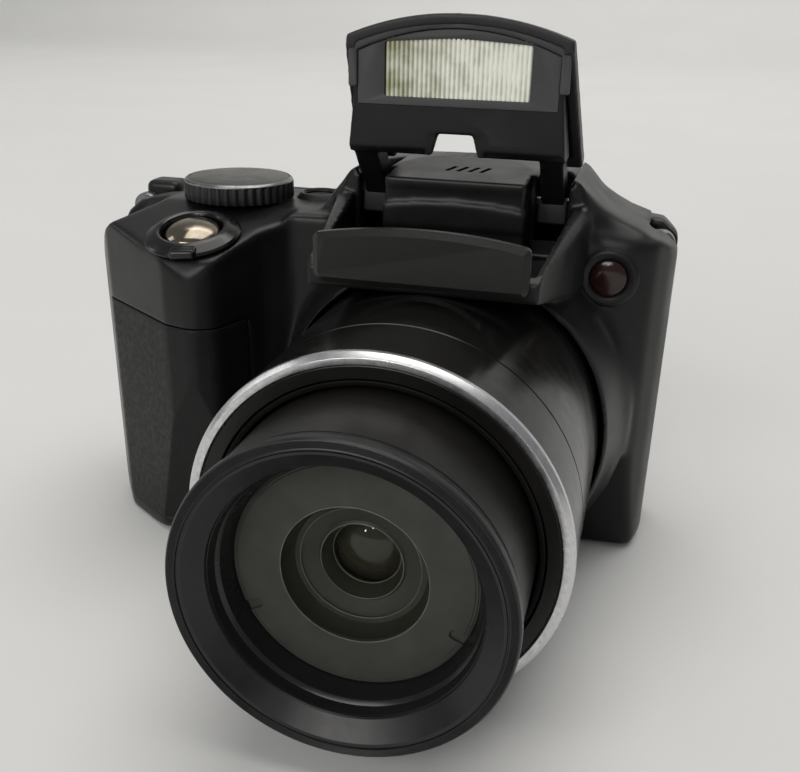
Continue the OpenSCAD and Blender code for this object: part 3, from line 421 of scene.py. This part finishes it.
collar_sides = [flare(math.radians(-38), math.radians(58)), flare(math.radians(122), math.radians(218))]
added = [upper_step, lower_step, last_step, right_flank, left_flank, ear, cheek, vent_fill] + collar_sides
soft_zones = [(grip_softness, 45), (hump_softness, 90), (shoulder_softness, 160), (collar_softness, 70),
              (side_softness, 50), (foot_softness, 36)]
top_shell = solid_copy("top_cover", "front_cover")
melt(top_shell, 0.32, 6, added, soft_zones, 0.3)
front_shell = top_shell.copy()
front_shell.data = top_shell.data.copy()
bpy.context.scene.collection.objects.link(front_shell)
seam_fall = (seam_bend - seam_front) * math.tan(grip_slope)
seam_line = [(seam_front, 100), (30, 100), (30, seam_level), (seam_bend, seam_level),
             (seam_front, seam_level - seam_fall)]
above_seam = drawn_plate(seam_line, -100, 100, "X")
nose = block((-24, -45, 50.9), (24, -10.9, 70))
applied(above_seam, "BOOLEAN", operation="UNION", object=nose, solver="EXACT")
applied(top_shell, "BOOLEAN", operation="INTERSECT", object=above_seam, solver="MANIFOLD")
for i in range(4):
    vent = block((-0.4, -1.7, 67.3), (0.4, 1.7, 71))
    place = Matrix.Translation((vent_middle[0] + vent_pitch * (i - 1.5), vent_middle[1], 0))
    vent.data.transform(place @ Matrix.Rotation(vent_lean, 4, "Z"))
    applied(top_shell, "BOOLEAN", operation="DIFFERENCE", object=vent, solver="MANIFOLD")
    bpy.data.objects.remove(vent)
settle(top_shell, "top_shell", "camera", "body_plastic", body_black, "top_cover")


# Front cover: grip and face, with the collar round the barrel, moulded in one piece.
# It carries the lens unit and is closed by the top and rear covers.
applied(front_shell, "BOOLEAN", operation="DIFFERENCE", object=above_seam, solver="MANIFOLD")
bpy.data.objects.remove(above_seam)
bpy.data.objects.remove(nose)
settle(front_shell, "front_shell", "camera", "body_plastic", body_black, "front_cover")


# Rear cover: the back with the display opening, moulded like the front.
# Its rim meets the front and top covers in one seam round the body.
rear_shell = solid_copy("rear_cover")
melt(rear_shell, 0.42, 5, keep=0.4)
settle(rear_shell, "rear_shell", "camera", "body_plastic", body_black, "rear_cover")


# Grip pad: a thin soft skin set into the grip front, moulded with a leather-like grain.
# It is glued into a shallow recess of the front cover.
def pebbled(name, colour, rough, cell, depth):
    """Soft skin with small raised cells."""
    finish, tree, shader = new_finish(name)
    place = add_node(tree, "TexCoord")
    cells = add_node(tree, "TexVoronoi", Scale=1 / cell, Randomness=0.9)
    cells.feature = "SMOOTH_F1"
    tree.links.new(place.outputs["Object"], cells.inputs["Vector"])
    cloud = mottle(tree, 220, 3)
    coloured(tree, shader, cloud, [c * 0.8 for c in colour], [c * 1.25 for c in colour])
    sheen = spread(tree, cells.outputs[0], rough + 0.08, rough - 0.06, 0.1, 0.7)
    tree.links.new(sheen, shader.inputs["Roughness"])
    shader.inputs["Specular IOR Level"].default_value = 0.25
    pebble(tree, shader, cells.outputs[0], depth, 0.00012)
    return finish


grip_skin = pebbled("grip_skin", (0.0055, 0.0056, 0.0058), 0.5, 0.0009, 0.14)
grip_panel = solid_copy("grip_pad")
melt(grip_panel, 0.24, 3, keep=0.5)
settle(grip_panel, "grip_panel", "camera", "grip_skin", grip_skin, "grip_pad")


# Visor: a bare moulded plate over the lens, its top arched and its corners rounded.
# It is clipped to the nose of the top cover.
visor_half, visor_low, visor_high, visor_bow = 15.8, 56.4, 64.9, 86
visor_back, visor_edge, visor_corner = -38.0, -39.0, 1.6
slope_wide, slope_high = 0.9, 0.8


def rounded_outline(points, radius, steps=5):
    """Corners of a closed outline eased with arcs."""
    eased = []
    for i, corner in enumerate(points):
        corner = Vector(corner)
        before, after = Vector(points[i - 1]), Vector(points[(i + 1) % len(points)])
        near, far = before - corner, after - corner
        turn = near.angle(far)
        reach = min(radius / max(math.tan(turn / 2), 1e-4), near.length * 0.48, far.length * 0.48)
        if turn > 2.9 or reach < 1e-4:
            eased.append(tuple(corner))
            continue
        start, end = corner + near.normalized() * reach, corner + far.normalized() * reach
        for s in range(steps + 1):
            t = s / steps
            eased.append(tuple(start * (1 - t) ** 2 + corner * 2 * t * (1 - t) + end * t ** 2))
    return eased


visor_across = [visor_half - i * visor_half / 8 for i in range(17)]
visor_arch = [(x, visor_high - visor_bow + math.sqrt(visor_bow ** 2 - x * x)) for x in visor_across]
visor_line = [(-visor_half, visor_low), (visor_half, visor_low)] + visor_arch
visor_plate = drawn_plate(rounded_outline(visor_line, visor_corner), visor_edge, visor_back)
pick(visor_plate)
bpy.ops.object.mode_set(mode="EDIT")
bpy.ops.mesh.select_mode(type="FACE")
bpy.ops.mesh.select_all(action="DESELECT")
bpy.ops.object.mode_set(mode="OBJECT")
for face in visor_plate.data.polygons:
    face.select = face.normal.y < -0.9
bpy.ops.object.mode_set(mode="EDIT")
bpy.ops.mesh.inset(thickness=slope_wide, depth=slope_high)
bpy.ops.mesh.select_mode(type="VERT")
bpy.ops.object.mode_set(mode="OBJECT")
applied(visor_plate, "BEVEL", width=0.35, segments=3, limit_method="ANGLE", angle_limit=math.radians(30))
visor_black = moulded("visor_black", (0.0058, 0.0056, 0.0053), 0.34, 0.00024, 0.55, 0.32)
settle(visor_plate, "visor_plate", "camera", "body_plastic", visor_black, "visor")
applied(visor_plate, "WEIGHTED_NORMAL", weight=100, keep_sharp=True)


# Focus lamp: a dark red clear dome pressed into the face from inside.
# A soft moulded ring of the front cover stands round it.
def turned(outline, spot=(0, 0, lens_axis), axis=(0, 1, 0), steps=128):
    """A turned piece: an outline of radius and station, spun about its axis."""
    along = Vector(axis).normalized()
    across = along.orthogonal().normalized()
    made = outline_loop([Vector(spot) + across * r + along * s for r, s in outline])
    pick(made)
    bpy.ops.object.mode_set(mode="EDIT")
    bpy.ops.mesh.select_all(action="SELECT")
    bpy.ops.mesh.spin(steps=steps, angle=2 * math.pi, center=spot, axis=along)
    bpy.ops.mesh.select_all(action="SELECT")
    bpy.ops.mesh.remove_doubles(threshold=0.0008)
    bpy.ops.mesh.delete_loose(use_verts=True, use_edges=True, use_faces=False)
    bpy.ops.mesh.select_all(action="SELECT")
    bpy.ops.mesh.normals_make_consistent(inside=False)
    bpy.ops.object.mode_set(mode="OBJECT")
    return made


lamp_middle, lamp_radius, lamp_top, lamp_back = (lamp_spot[0], 0, lamp_spot[1]), 3.05, -11.7, -9.3
lamp_turns = [i * 1.5 / 8 for i in range(9)]
lamp_line = [(lamp_radius * math.sin(a), lamp_top + 0.7 * (1 - math.cos(a))) for a in lamp_turns]
lamp_dome = turned(lamp_line + [(lamp_radius, lamp_back), (0, lamp_back)], lamp_middle, steps=64)
lamp_red, tree, shader = new_finish("lamp_red")
coloured(tree, shader, mottle(tree, 300), (0.012, 0.0035, 0.003), (0.020, 0.005, 0.004))
roughened(tree, shader, mottle(tree, 90), 0.10, 0.2)
pebble(tree, shader, mottle(tree, 900), 0.12, 0.00005)
settle(lamp_dome, "lamp_dome", "camera", "lamp_red", lamp_red, "af_lamp")
bezel_line = [(3.1, -10.6), (3.1, -11.05), (3.5, -11.35), (4.1, -11.45), (4.5, -11.35), (5.0, -10.95),
              (5.0, -10.6)]
lamp_bezel = turned(rounded_outline(bezel_line, 0.3), lamp_middle, steps=72)
settle(lamp_bezel, "lamp_bezel", "camera", "body_plastic", body_black)


# Strap lugs: bent steel loops, one in each open corner of the body.
# Their feet are held between the covers.
lug_steel, tree, shader = new_finish("lug_steel")
shader.inputs["Metallic"].default_value = 1
coloured(tree, shader, mottle(tree, 700), (0.16, 0.165, 0.17), (0.24, 0.24, 0.24))
roughened(tree, shader, mottle(tree, 400), 0.22, 0.4)
pebble(tree, shader, mottle(tree, 2500), 0.1, 0.00004)
lugs = solid_copy("strap_lugs")
applied(lugs, "BEVEL", width=0.3, segments=3, limit_method="ANGLE", angle_limit=math.radians(40))
settle(lugs, "lug_loops", "camera", "steel", lug_steel, "strap_lugs")


# Fixed barrel: a glossy black moulded tube with a fine seam, bolted behind the face.
# A satin silver ring and a black face ring close its front.
gloss_black = (0.0068, 0.0066, 0.0063)


def glossy(name, colour, rough, coat=0.0, specular=0.42):
    """Polished black moulding with faint haze and a slight ripple."""
    finish, tree, shader = new_finish(name)
    cloud = mottle(tree, 60, 3)
    coloured(tree, shader, cloud, [c * 0.85 for c in colour], [c * 1.3 for c in colour])
    roughened(tree, shader, mottle(tree, 500, 4), rough - 0.03, rough + 0.05)
    shader.inputs["Specular IOR Level"].default_value = specular
    shader.inputs["Coat Weight"].default_value = coat
    shader.inputs["Coat Roughness"].default_value = 0.08
    pebble(tree, shader, mottle(tree, 160, 2), 0.05, 0.0002)
    return finish


barrel_gloss = glossy("barrel_gloss", gloss_black, 0.17, 0.0, 0.26)
barrel = turned([(25.8, -60.4), (26.8, -60.4), (27.0, -60.2), (27.0, -49.5), (26.75, -49.4), (26.75, -49.15),
                 (27.0, -49.05), (27.0, -5.5), (25.8, -5.5)], steps=160)
settle(barrel, "barrel_tube", "camera", "barrel_gloss", barrel_gloss, "fixed_barrel", angle=25)
ring_silver, tree, shader = new_finish("ring_silver")
shader.inputs["Metallic"].default_value = 1
coloured(tree, shader, mottle(tree, 1400, 3, (1, 14, 1)), (0.55, 0.55, 0.56), (0.74, 0.74, 0.75))
roughened(tree, shader, mottle(tree, 300), 0.22, 0.36)
pebble(tree, shader, mottle(tree, 1800, 2, (1, 20, 1)), 0.06, 0.00005)
silver_line = [(25.45, -61.6), (25.6, -61.95), (26.5, -62.0), (27.15, -61.2), (27.2, -60.4), (25.45, -60.4)]
silver_ring = turned(rounded_outline(silver_line, 0.15, 3), steps=160)
settle(silver_ring, "silver_ring", "camera", "trim_silver", ring_silver, "barrel_trim_ring", angle=30)
face_black = moulded("face_black", (0.0085, 0.0080, 0.0075), 0.30, 0.0002, 0.2, 0.35, 0.1)
face_line = [(23.5, -61.3), (23.6, -61.42), (25.3, -61.72), (25.42, -61.65), (25.42, -59.6), (23.5, -59.6)]
face_ring = turned(face_line, steps=160)
settle(face_ring, "face_ring", "camera", "barrel_gloss", face_black, "barrel_front_ring", angle=30)


# Moving barrels: two black tubes, the front one satin, that slide out of the fixed barrel.
# The middle one carries the zoom lenses and the front one carries the rim and the front glass.
middle_line = [(22.45, -60.6), (22.5, -61.1), (22.65, -61.24), (23.15, -61.36), (23.25, -61.25), (23.25, -29.2),
               (12.5, -29.2), (12.5, -30.4), (22.45, -30.4)]
middle_tube = turned(middle_line, steps=144)
settle(middle_tube, "middle_tube", "lens_middle", "barrel_gloss", face_black, "middle_barrel", angle=30)
tube_satin = glossy("tube_satin", (0.0080, 0.0075, 0.0070), 0.32, 0.0, 0.22)
front_line = [(21.4, -75.3), (22.1, -75.3), (22.1, -74.9), (21.95, -74.85), (21.95, -74.65), (22.1, -74.6),
              (22.1, -43.6), (21.4, -43.6)]
front_tube = turned(front_line, steps=144)
settle(front_tube, "front_tube", "lens_front", "barrel_gloss", tube_satin, "front_barrel", angle=30)


# Front rim: a satin black turned ring with fine grooves on its lip, a cone and two steps.
# It screws on the front barrel and holds the cover ring and the glass.
rim_black = (0.0085, 0.0088, 0.0094)
lip_grooves = []
for i in range(5):
    r = 22.25 - 0.2 * i
    lip_grooves += [(r, -77.88), (r - 0.07, -77.8), (r - 0.13, -77.8)]
outer_line = [(22.1, -75.3), (22.35, -75.6), (22.6, -76.6), (22.62, -77.2), (22.55, -77.6), (22.4, -77.82)]
inner_line = [(21.2, -77.86), (21.12, -77.66), (20.98, -77.66), (20.9, -77.82), (20.5, -77.7), (18.15, -75.7),
              (18.0, -75.4), (18.3, -75.2), (21.4, -73.4), (21.4, -75.3)]
rim = turned(outer_line + lip_grooves + inner_line, steps=192)
rim_satin, tree, shader = new_finish("rim_satin")
spun = mottle(tree, 260, 3)
coloured(tree, shader, spun, [c * 0.8 for c in rim_black], [c * 1.3 for c in rim_black])
roughened(tree, shader, spun, 0.30, 0.40)
shader.inputs["Specular IOR Level"].default_value = 0.4
pebble(tree, shader, mottle(tree, 3600, 2), 0.18, 0.00005)
settle(rim, "rim_ring", "lens_front", "rim_satin", rim_satin, "front_rim", angle=22)
cone_line = [(18.3, -75.3), (17.95, -75.2), (17.6, -73.7), (17.3, -73.45), (17.1, -73.2), (16.7, -71.3),
             (16.5, -70.7), (16.4, -70.3), (16.4, -69.5), (21.3, -69.5), (21.3, -73.4)]
cone = turned(cone_line, steps=160)
cone_black = glossy("cone_black", (0.0080, 0.0088, 0.0086), 0.24)
settle(cone, "rim_cone", "lens_front", "rim_satin", cone_black, angle=25)


# Cover ring: a flat dark grey ring round the glass, with a fine line near its edge.
# Two small notches take the key that screws it in.
cover_line = [(9.95, -70.1), (10.05, -70.3), (15.75, -70.35), (15.8, -70.25), (15.95, -70.25), (16.0, -70.35),
              (16.15, -70.35), (16.2, -70.2), (16.4, -70.2), (16.4, -69.5), (9.95, -69.5)]
cover_ring = turned(cover_line, steps=160)
notch_way = 15.6
notch_line = rounded_outline([(-0.75, -1.5), (0.75, -1.5), (0.75, 1.5), (-0.75, 1.5)], 0.7)
for angle in (206, -25):
    turn = math.radians(angle)
    spot = Vector((notch_way * math.cos(turn), 0, lens_axis + notch_way * math.sin(turn)))
    notch = drawn_plate(notch_line, -71.4, -69.95)
    notch.matrix_world = Matrix.Translation(spot) @ Matrix.Rotation(math.radians(-angle + 90), 4, "Y")
    pick(notch)
    bpy.ops.object.transform_apply(location=True, rotation=True, scale=True)
    applied(cover_ring, "BOOLEAN", operation="DIFFERENCE", object=notch, solver="EXACT")
    bpy.data.objects.remove(notch)
cover_grey, tree, shader = new_finish("cover_grey")
coloured(tree, shader, mottle(tree, 240, 4), (0.036, 0.0375, 0.032), (0.047, 0.0485, 0.042))
roughened(tree, shader, mottle(tree, 300), 0.55, 0.7)
shader.inputs["Specular IOR Level"].default_value = 0.3
pebble(tree, shader, mottle(tree, 4200, 2), 0.3, 0.00004)
settle(cover_ring, "cover_ring", "lens_front", "cover_grey", cover_grey, "lens_cover_ring", angle=30)


# Front glass: a coated lens, seen through to a stepped black tube whose ring edges carry painted highlights as
# thin pale beads.
# The second lens sits at the bottom of the tube.
glass_radius, glass_front, glass_back = 9.95, -70.75, -69.8
bow = [(glass_radius * i / 10, glass_front + 0.6 * (i / 10) ** 2) for i in range(11)]
glass = turned(bow + [(glass_radius, glass_back), (0, glass_back)], steps=96)
coated, tree, shader = new_finish("coated_glass")
coloured(tree, shader, mottle(tree, 60), (0.030, 0.031, 0.019), (0.038, 0.039, 0.025))
roughened(tree, shader, mottle(tree, 200), 0.28, 0.32)
shader.inputs["Alpha"].default_value = 0.03
settle(glass, "glass_front", "lens_front", "lens_glass", coated, "front_glass")
well_line = [(9.95, -69.7), (9.9, -69.0), (9.0, -67.3), (8.3, -67.2), (8.2, -67.0), (7.4, -66.9), (6.0, -66.4),
             (5.7, -66.6), (5.6, -66.3), (5.2, -65.6), (4.75, -64.4), (4.7, -63.9), (4.9, -63.4), (6.2, -63.1),
             (6.2, -61.9), (11.0, -61.9), (11.0, -65.9), (16.3, -65.9), (16.3, -69.7)]
well = turned(well_line, steps=128)
well_black, tree, shader = new_finish("well_black")
coloured(tree, shader, mottle(tree, 300), (0.0135, 0.0135, 0.0082), (0.018, 0.018, 0.011))
roughened(tree, shader, mottle(tree, 500), 0.5, 0.65)
pebble(tree, shader, mottle(tree, 700), 0.05, 0.00004)
settle(well, "lens_well", "lens_front", "inner_black", well_black, "inner_baffle", angle=25)
# The thin pale grey beads on the glass edge and on the tube's ring edges are painted highlights, not parts of
# the lens.
painted_edge_highlight, tree, shader = new_finish("painted_edge_highlight")
coloured(tree, shader, mottle(tree, 400), (0.10, 0.10, 0.085), (0.18, 0.18, 0.155))
roughened(tree, shader, mottle(tree, 300), 0.3, 0.45)
highlight_bead_places = (("glass_edge", 9.98, -70.28), ("well_edge_1", 8.25, -67.28), ("well_edge_2", 5.65, -66.62),
               ("well_edge_3", 4.7, -64.2))
bead_radius, bead_turns = 0.07, [i * math.pi / 3 for i in range(6)]
for name, r, y in highlight_bead_places:
    bead_line = [(r + bead_radius * math.cos(a), y + bead_radius * math.sin(a)) for a in bead_turns]
    bead = turned(bead_line, steps=96)
    settle(bead, name, "lens_front", "inner_black", painted_edge_highlight, angle=80)
deep_radius, deep_bow, deep_front, deep_back = 6.1, 8.0, -64.3, -61.4
deep_across = [deep_radius * i / 12 for i in range(13)]
deep = [(r, deep_front + deep_bow - math.sqrt(deep_bow ** 2 - r ** 2)) for r in deep_across]
second = turned(deep + [(deep_radius, deep_back), (0, deep_back)], steps=80)
deep_coat, tree, shader = new_finish("deep_coat")
coloured(tree, shader, mottle(tree, 150), (0.020, 0.020, 0.013), (0.026, 0.024, 0.015))
roughened(tree, shader, mottle(tree, 400), 0.05, 0.09)
shader.inputs["Specular Tint"].default_value = (0.8, 0.95, 0.85, 1)
settle(second, "glass_second", "lens_front", "lens_glass", deep_coat, "second_lens")


# Mode dial: a black knurled skirt with a silver bevel and a low domed grey top.
# It turns on a stem that is clipped under the top cover.
dial_low, dial_high, dial_radius = 60.3, 3.0, 9.9
ribs, rib_steps, rib_deep = 40, 6, 0.42
knurl = []
for i in range(ribs * rib_steps):
    r = dial_radius - rib_deep * math.sin(math.pi * (i % rib_steps) / rib_steps) ** 2
    turn = 2 * math.pi * i / (ribs * rib_steps)
    knurl.append((dial_spot[0] + r * math.cos(turn), dial_spot[1] + r * math.sin(turn)))
skirt = drawn_plate(knurl, dial_low, dial_low + dial_high, "Z")
applied(skirt, "BEVEL", width=0.14, segments=2, limit_method="ANGLE", angle_limit=math.radians(70))
dial_black = moulded("dial_black", (0.0115, 0.0122, 0.013), 0.38, 0.0002, 0.25, 0.35)
settle(skirt, "dial_skirt", "mode_dial", "body_plastic", dial_black, "mode_dial", angle=50)
dial_silver, tree, shader = new_finish("dial_silver")
shader.inputs["Metallic"].default_value = 1
coloured(tree, shader, mottle(tree, 900, 3), (0.20, 0.20, 0.20), (0.30, 0.30, 0.29))
roughened(tree, shader, mottle(tree, 300), 0.25, 0.38)
pebble(tree, shader, mottle(tree, 2600), 0.08, 0.00004)
bevel_line = [(9.8, 63.2), (9.8, 63.45), (9.45, 63.8), (9.2, 63.85), (9.2, 63.2)]
bevel_ring = turned(rounded_outline(bevel_line, 0.1, 3), dial_spot, (0, 0, 1), steps=120)
settle(bevel_ring, "dial_bevel", "mode_dial", "body_plastic", dial_silver, angle=35)
dial_grey, tree, shader = new_finish("dial_grey")
coloured(tree, shader, mottle(tree, 500, 3), (0.034, 0.034, 0.031), (0.050, 0.050, 0.046))
roughened(tree, shader, mottle(tree, 260), 0.3, 0.42)
pebble(tree, shader, mottle(tree, 3600), 0.18, 0.00004)
cap_line = [(0, 64.4), (3, 64.38), (6, 64.26), (8, 64.05), (8.9, 63.85), (9.18, 63.7), (9.18, 63.2), (0, 63.2)]
cap = turned(cap_line, dial_spot, (0, 0, 1), steps=96)
settle(cap, "dial_cap", "mode_dial", "body_plastic", dial_grey)


# Shutter button and zoom lever: a bright chromed dome in a glossy ring with a finger tab.
# The ring turns on a hub in the sloping grip top, and the dome presses down inside it.
slope = Matrix.Translation(lever_spot) @ Matrix.Rotation(grip_slope, 4, "X")


def on_slope(piece):
    piece.data.transform(slope)


dome_radius, dome_high, dome_foot = 4.9, 2.3, -1.6
dome_turns = [i * math.pi / 2 / 12 for i in range(13)]
dome_line = [(dome_radius * math.sin(a), 0.3 + dome_high * math.cos(a)) for a in dome_turns]
dome = turned(dome_line + [(dome_radius, dome_foot), (0, dome_foot)], (0, 0, 0), (0, 0, 1), steps=96)
on_slope(dome)
chrome, tree, shader = new_finish("button_chrome")
shader.inputs["Metallic"].default_value = 1
coloured(tree, shader, mottle(tree, 700), (0.24, 0.205, 0.16), (0.31, 0.27, 0.215))
roughened(tree, shader, mottle(tree, 260), 0.12, 0.24)
pebble(tree, shader, mottle(tree, 1500), 0.06, 0.00004)
settle(dome, "shutter_dome", "shutter_button", "button_chrome", chrome, "shutter_button")
lever_line = [(5.2, -2.6), (5.2, 1.3), (5.45, 1.75), (5.9, 1.85), (6.5, 1.7), (7.9, 0.95), (8.2, 0.6),
              (8.2, 0.3), (7.0, 0.3), (7.0, -2.6)]
lever_ring = turned(rounded_outline(lever_line, 0.2, 3), (0, 0, 0), (0, 0, 1), steps=120)
tab = block((-2.2, -8.7, 0.3), (2.2, -6.2, 1.85), 0.6, 4)
tab_ridges = [block((-1.8, -8.4 + 0.5 * i, 1.7), (1.8, -8.2 + 0.5 * i, 1.95), 0.08, 2) for i in range(4)]
pick(lever_ring, tab, *tab_ridges)
for piece in [tab] + tab_ridges:
    piece.data.transform(Matrix.Rotation(math.radians(12), 4, "Z"))
bpy.ops.object.join()
on_slope(lever_ring)
lever_gloss = glossy("lever_gloss", (0.0055, 0.0055, 0.0058), 0.2)
settle(lever_ring, "lever_ring", "zoom_lever", "barrel_gloss", lever_gloss, "zoom_lever")


# Power button: a small round key in a raised round rim beside the dial.
# It presses down on a switch under the top cover.
power_line = [(2.95, 59.3), (2.95, 60.5), (3.3, 61.0), (3.75, 60.9), (4.5, 60.0), (4.5, 59.3)]
power_rim = turned(rounded_outline(power_line, 0.2, 3), power_spot, (0, 0, 1), steps=72)
settle(power_rim, "power_rim", "camera", "body_plastic", body_black)
key_black = moulded("key_black", (0.008, 0.0081, 0.0085), 0.36, 0.0002, 0.2, 0.35)
key_line = [(0, 60.05), (1.6, 60.1), (2.4, 60.3), (2.6, 60.28), (2.68, 60.15), (2.7, 57.4), (3.7, 57.4),
            (3.7, 56.6), (0, 56.6)]
power_key = turned(key_line, power_spot, (0, 0, 1), steps=64)
settle(power_key, "power_key", "power_button", "button_plastic", key_black, "power_button")


# Flash head: an arched moulded cover and a case with two arms that swings on a pin.
# The front of the case has a satin panel with a cut-out for the window.
head_black = moulded("head_black", (0.016, 0.0165, 0.017), 0.42, 0.00028, 0.3, 0.3)
head_shell = solid_copy("flash_cover")
melt(head_shell, 0.24, 6, keep=0.55)
settle(head_shell, "head_shell", "flash_head", "body_plastic", head_black, "flash_cover")
case_black = moulded("case_black", (0.0055, 0.0056, 0.0060), 0.42, 0.00028, 0.3, 0.28)
case = solid_copy("flash_case")
feet = [block((side * 15 - 2.4, -8.0, 60.3), (side * 15 + 2.4, -5.6, 64.4), 0.5) for side in (-1, 1)]
notch_sides = []
for side in (-1, 1):
    side_line = [(side * 2.7, 75.2), (side * 3.7, 71.7), (side * 4.6, 71.7), (side * 4.6, 75.2)]
    notch_sides.append(drawn_plate(side_line, -17.1, -15.6))
melt(case, 0.24, 5, notch_sides, keep=0.55)
settle(case, "head_case", "flash_head", "body_plastic", case_black, "flash_case")
pick(*feet)
bpy.ops.object.join()
settle(feet[0], "arm_feet", "flash_head", "body_plastic", head_black)
lip_grey = moulded("lip_grey", (0.038, 0.0405, 0.040), 0.46, 0.00028, 0.3, 0.3)


def bowed(half, low, shoulder, crown, count=14):
    """An outline with upright sides and a bowed top."""
    bow = crown - shoulder
    top = [(half - 2 * half * i / count, crown - bow * (1 - 2 * i / count) ** 2) for i in range(count + 1)]
    return [(-half, low), (half, low)] + top


lip = drawn_plate(bowed(17.0, 81.6, 87.6, 92.1), -18.0, -16.4)
inside = drawn_plate(bowed(15.6, 78, 86.9, 90.3), -19, -15)
applied(lip, "BOOLEAN", operation="DIFFERENCE", object=inside, solver="EXACT")
bpy.data.objects.remove(inside)
applied(lip, "BEVEL", width=0.3, segments=3, limit_method="ANGLE", angle_limit=math.radians(50))
settle(lip, "head_lip", "flash_head", "body_plastic", lip_grey)
panel_grey = moulded("panel_grey", (0.042, 0.044, 0.0435), 0.5, 0.00024, 0.3, 0.3)
panel = drawn_plate(bowed(15.55, 79.1, 86.8, 90.2), -17.5, -16.7)
hole_line = [(-11.3, 80.3), (11.3, 80.3), (11.3, 88.2), (0, 88.9), (-11.3, 88.2)]
hole = drawn_plate(rounded_outline(hole_line, 0.5), -18, -16)
applied(panel, "BOOLEAN", operation="DIFFERENCE", object=hole, solver="EXACT")
bpy.data.objects.remove(hole)
applied(panel, "BEVEL", width=0.16, segments=2, limit_method="ANGLE", angle_limit=math.radians(50))
settle(panel, "head_panel", "flash_head", "body_plastic", panel_grey)


# Flash window: a clear moulding with upright ribs, in front of a bright formed reflector.
# A thin glass tube lies along the reflector.
rib_count, rib_cut, rib_high = 31, 6, 0.28
window_half, window_front, window_back, window_low, window_high = 11.25, -16.95, -16.3, 80.2, 88.85
scallop = []
for i in range(rib_count * rib_cut + 1):
    x = -window_half + 2 * window_half * i / (rib_count * rib_cut)
    scallop.append((x, window_front - rib_high * abs(math.sin(math.pi * i / rib_cut))))
window_line = scallop + [(window_half, window_back), (-window_half, window_back)]
window = drawn_plate(window_line, window_low, window_high, "Z")
# The window's base colour is painted light: the image of the lit reflector seen through the ribs, darker olive
# at the left, bright at the right, in streaks along the ribs.
ribbed, tree, shader = new_finish("ribbed_clear")
place = add_node(tree, "TexCoord")
parts = add_node(tree, "SeparateXYZ")
tree.links.new(place.outputs["Object"], parts.inputs[0])
rib_pitch = 0.002 * window_half / rib_count
rib_lines = add_node(tree, "TexWave", bands_direction="X", Scale=2 * math.pi / (20 * rib_pitch),
                     Phase_Offset=math.pi)
tree.links.new(place.outputs["Object"], rib_lines.inputs["Vector"])
ribs_lit = add_node(tree, "Math", operation="ADD")
tree.links.new(spread(tree, rib_lines.outputs[1], -0.2, 0.2, 0, 1), ribs_lit.inputs[0])
tree.links.new(spread(tree, mottle(tree, 420, 3, (1, 0.02, 0.8)), -0.25, 0.25), ribs_lit.inputs[1])
lit = add_node(tree, "Math", operation="ADD", use_clamp=True)
tree.links.new(ribs_lit.outputs[0], lit.inputs[0])
tree.links.new(spread(tree, parts.outputs["X"], 0.3, 1.0, -0.0112, 0.004), lit.inputs[1])
# Painted reflector light: dark olive where little light shows through, pale where the reflector shines.
painted_reflector_light = two_tones(tree, lit.outputs[0], (0.24, 0.25, 0.12), (0.95, 0.95, 0.86))
tree.links.new(painted_reflector_light, shader.inputs["Base Color"])
roughened(tree, shader, mottle(tree, 500), 0.08, 0.18)
shader.inputs["IOR"].default_value = 1.49
settle(window, "ribbed_window", "flash_head", "flash_clear", ribbed, "flash_window", angle=60)


# Pieces kept as they were built: pins, springs, tube, reflector, base, doors, display, keys and inner parts.
# Each one gets the finish of its own material.
def metal(name, first, second, rough, grain=1600):
    finish, tree, shader = new_finish(name)
    shader.inputs["Metallic"].default_value = 1
    coloured(tree, shader, mottle(tree, 600), first, second)
    roughened(tree, shader, mottle(tree, 300), rough - 0.06, rough + 0.08)
    pebble(tree, shader, mottle(tree, grain), 0.08, 0.00004)
    return finish


def dress(finish, *nodes, ease=0.0):
    for node in nodes:
        piece = frame["nodes"][node]
        piece.data.materials.clear()
        piece.data.materials.append(finish)
        if ease:
            weld = piece.modifiers.new("weld", "WELD")
            weld.merge_threshold = 0.000004
            edge = piece.modifiers.new("edge", "BEVEL")
            edge.width, edge.segments, edge.limit_method = ease / 1000, 3, "ANGLE"
            edge.angle_limit = math.radians(40)


plain_steel = metal("plain_steel", (0.42, 0.43, 0.44), (0.56, 0.57, 0.58), 0.32)
bright_sheet = metal("bright_sheet", (0.78, 0.78, 0.76), (0.88, 0.88, 0.86), 0.18)
inner_black = moulded("inner_black", (0.022, 0.022, 0.023), 0.55, 0.0003, 0.3)
dress(plain_steel, "door_pin", "flash_pin", "flash_spring", "shutter_spring", "zoom_motor", "chassis",
      "tripod_bush", "terminal_sockets", "case_screws")
dress(bright_sheet, "flash_reflector")
dress(inner_black, "zoom_group", "cam_ring", "lens_base", "focus_group", "battery_holder", "speaker",
      "flash_capacitor")
board_green = moulded("board_green", (0.03, 0.12, 0.055), 0.4, 0.0006, 0.2)
dress(board_green, "main_board", "release_board", "sensor_unit")
pack_grey = moulded("pack_grey", (0.06, 0.062, 0.066), 0.45, 0.0004, 0.2)
dress(pack_grey, "battery", "memory_card", "lcd_panel")
gear_white = moulded("gear_white", (0.6, 0.58, 0.5), 0.4, 0.0004, 0.1)
dress(gear_white, "zoom_gear")
tube_glass = glossy("tube_glass", (0.6, 0.62, 0.62), 0.08)
dress(tube_glass, "flash_tube")
base_black = moulded("base_black", (0.007, 0.0072, 0.0076), 0.5, 0.0003, 0.35, 0.3)
dress(base_black, "base_plate", "battery_door", ease=0.3)
flap_rubber = moulded("flap_rubber", (0.0075, 0.0077, 0.008), 0.58, 0.0004, 0.35, 0.3)
dress(flap_rubber, "terminal_cover", ease=0.35)
dress(key_black, "movie_button", "playback_button", "exposure_button", "menu_button", "four_way_pad",
      "set_button", ease=0.3)
screen_dark = glossy("screen_dark", (0.006, 0.007, 0.009), 0.08, 0.6)
dress(screen_dark, "lcd_window", ease=0.3)
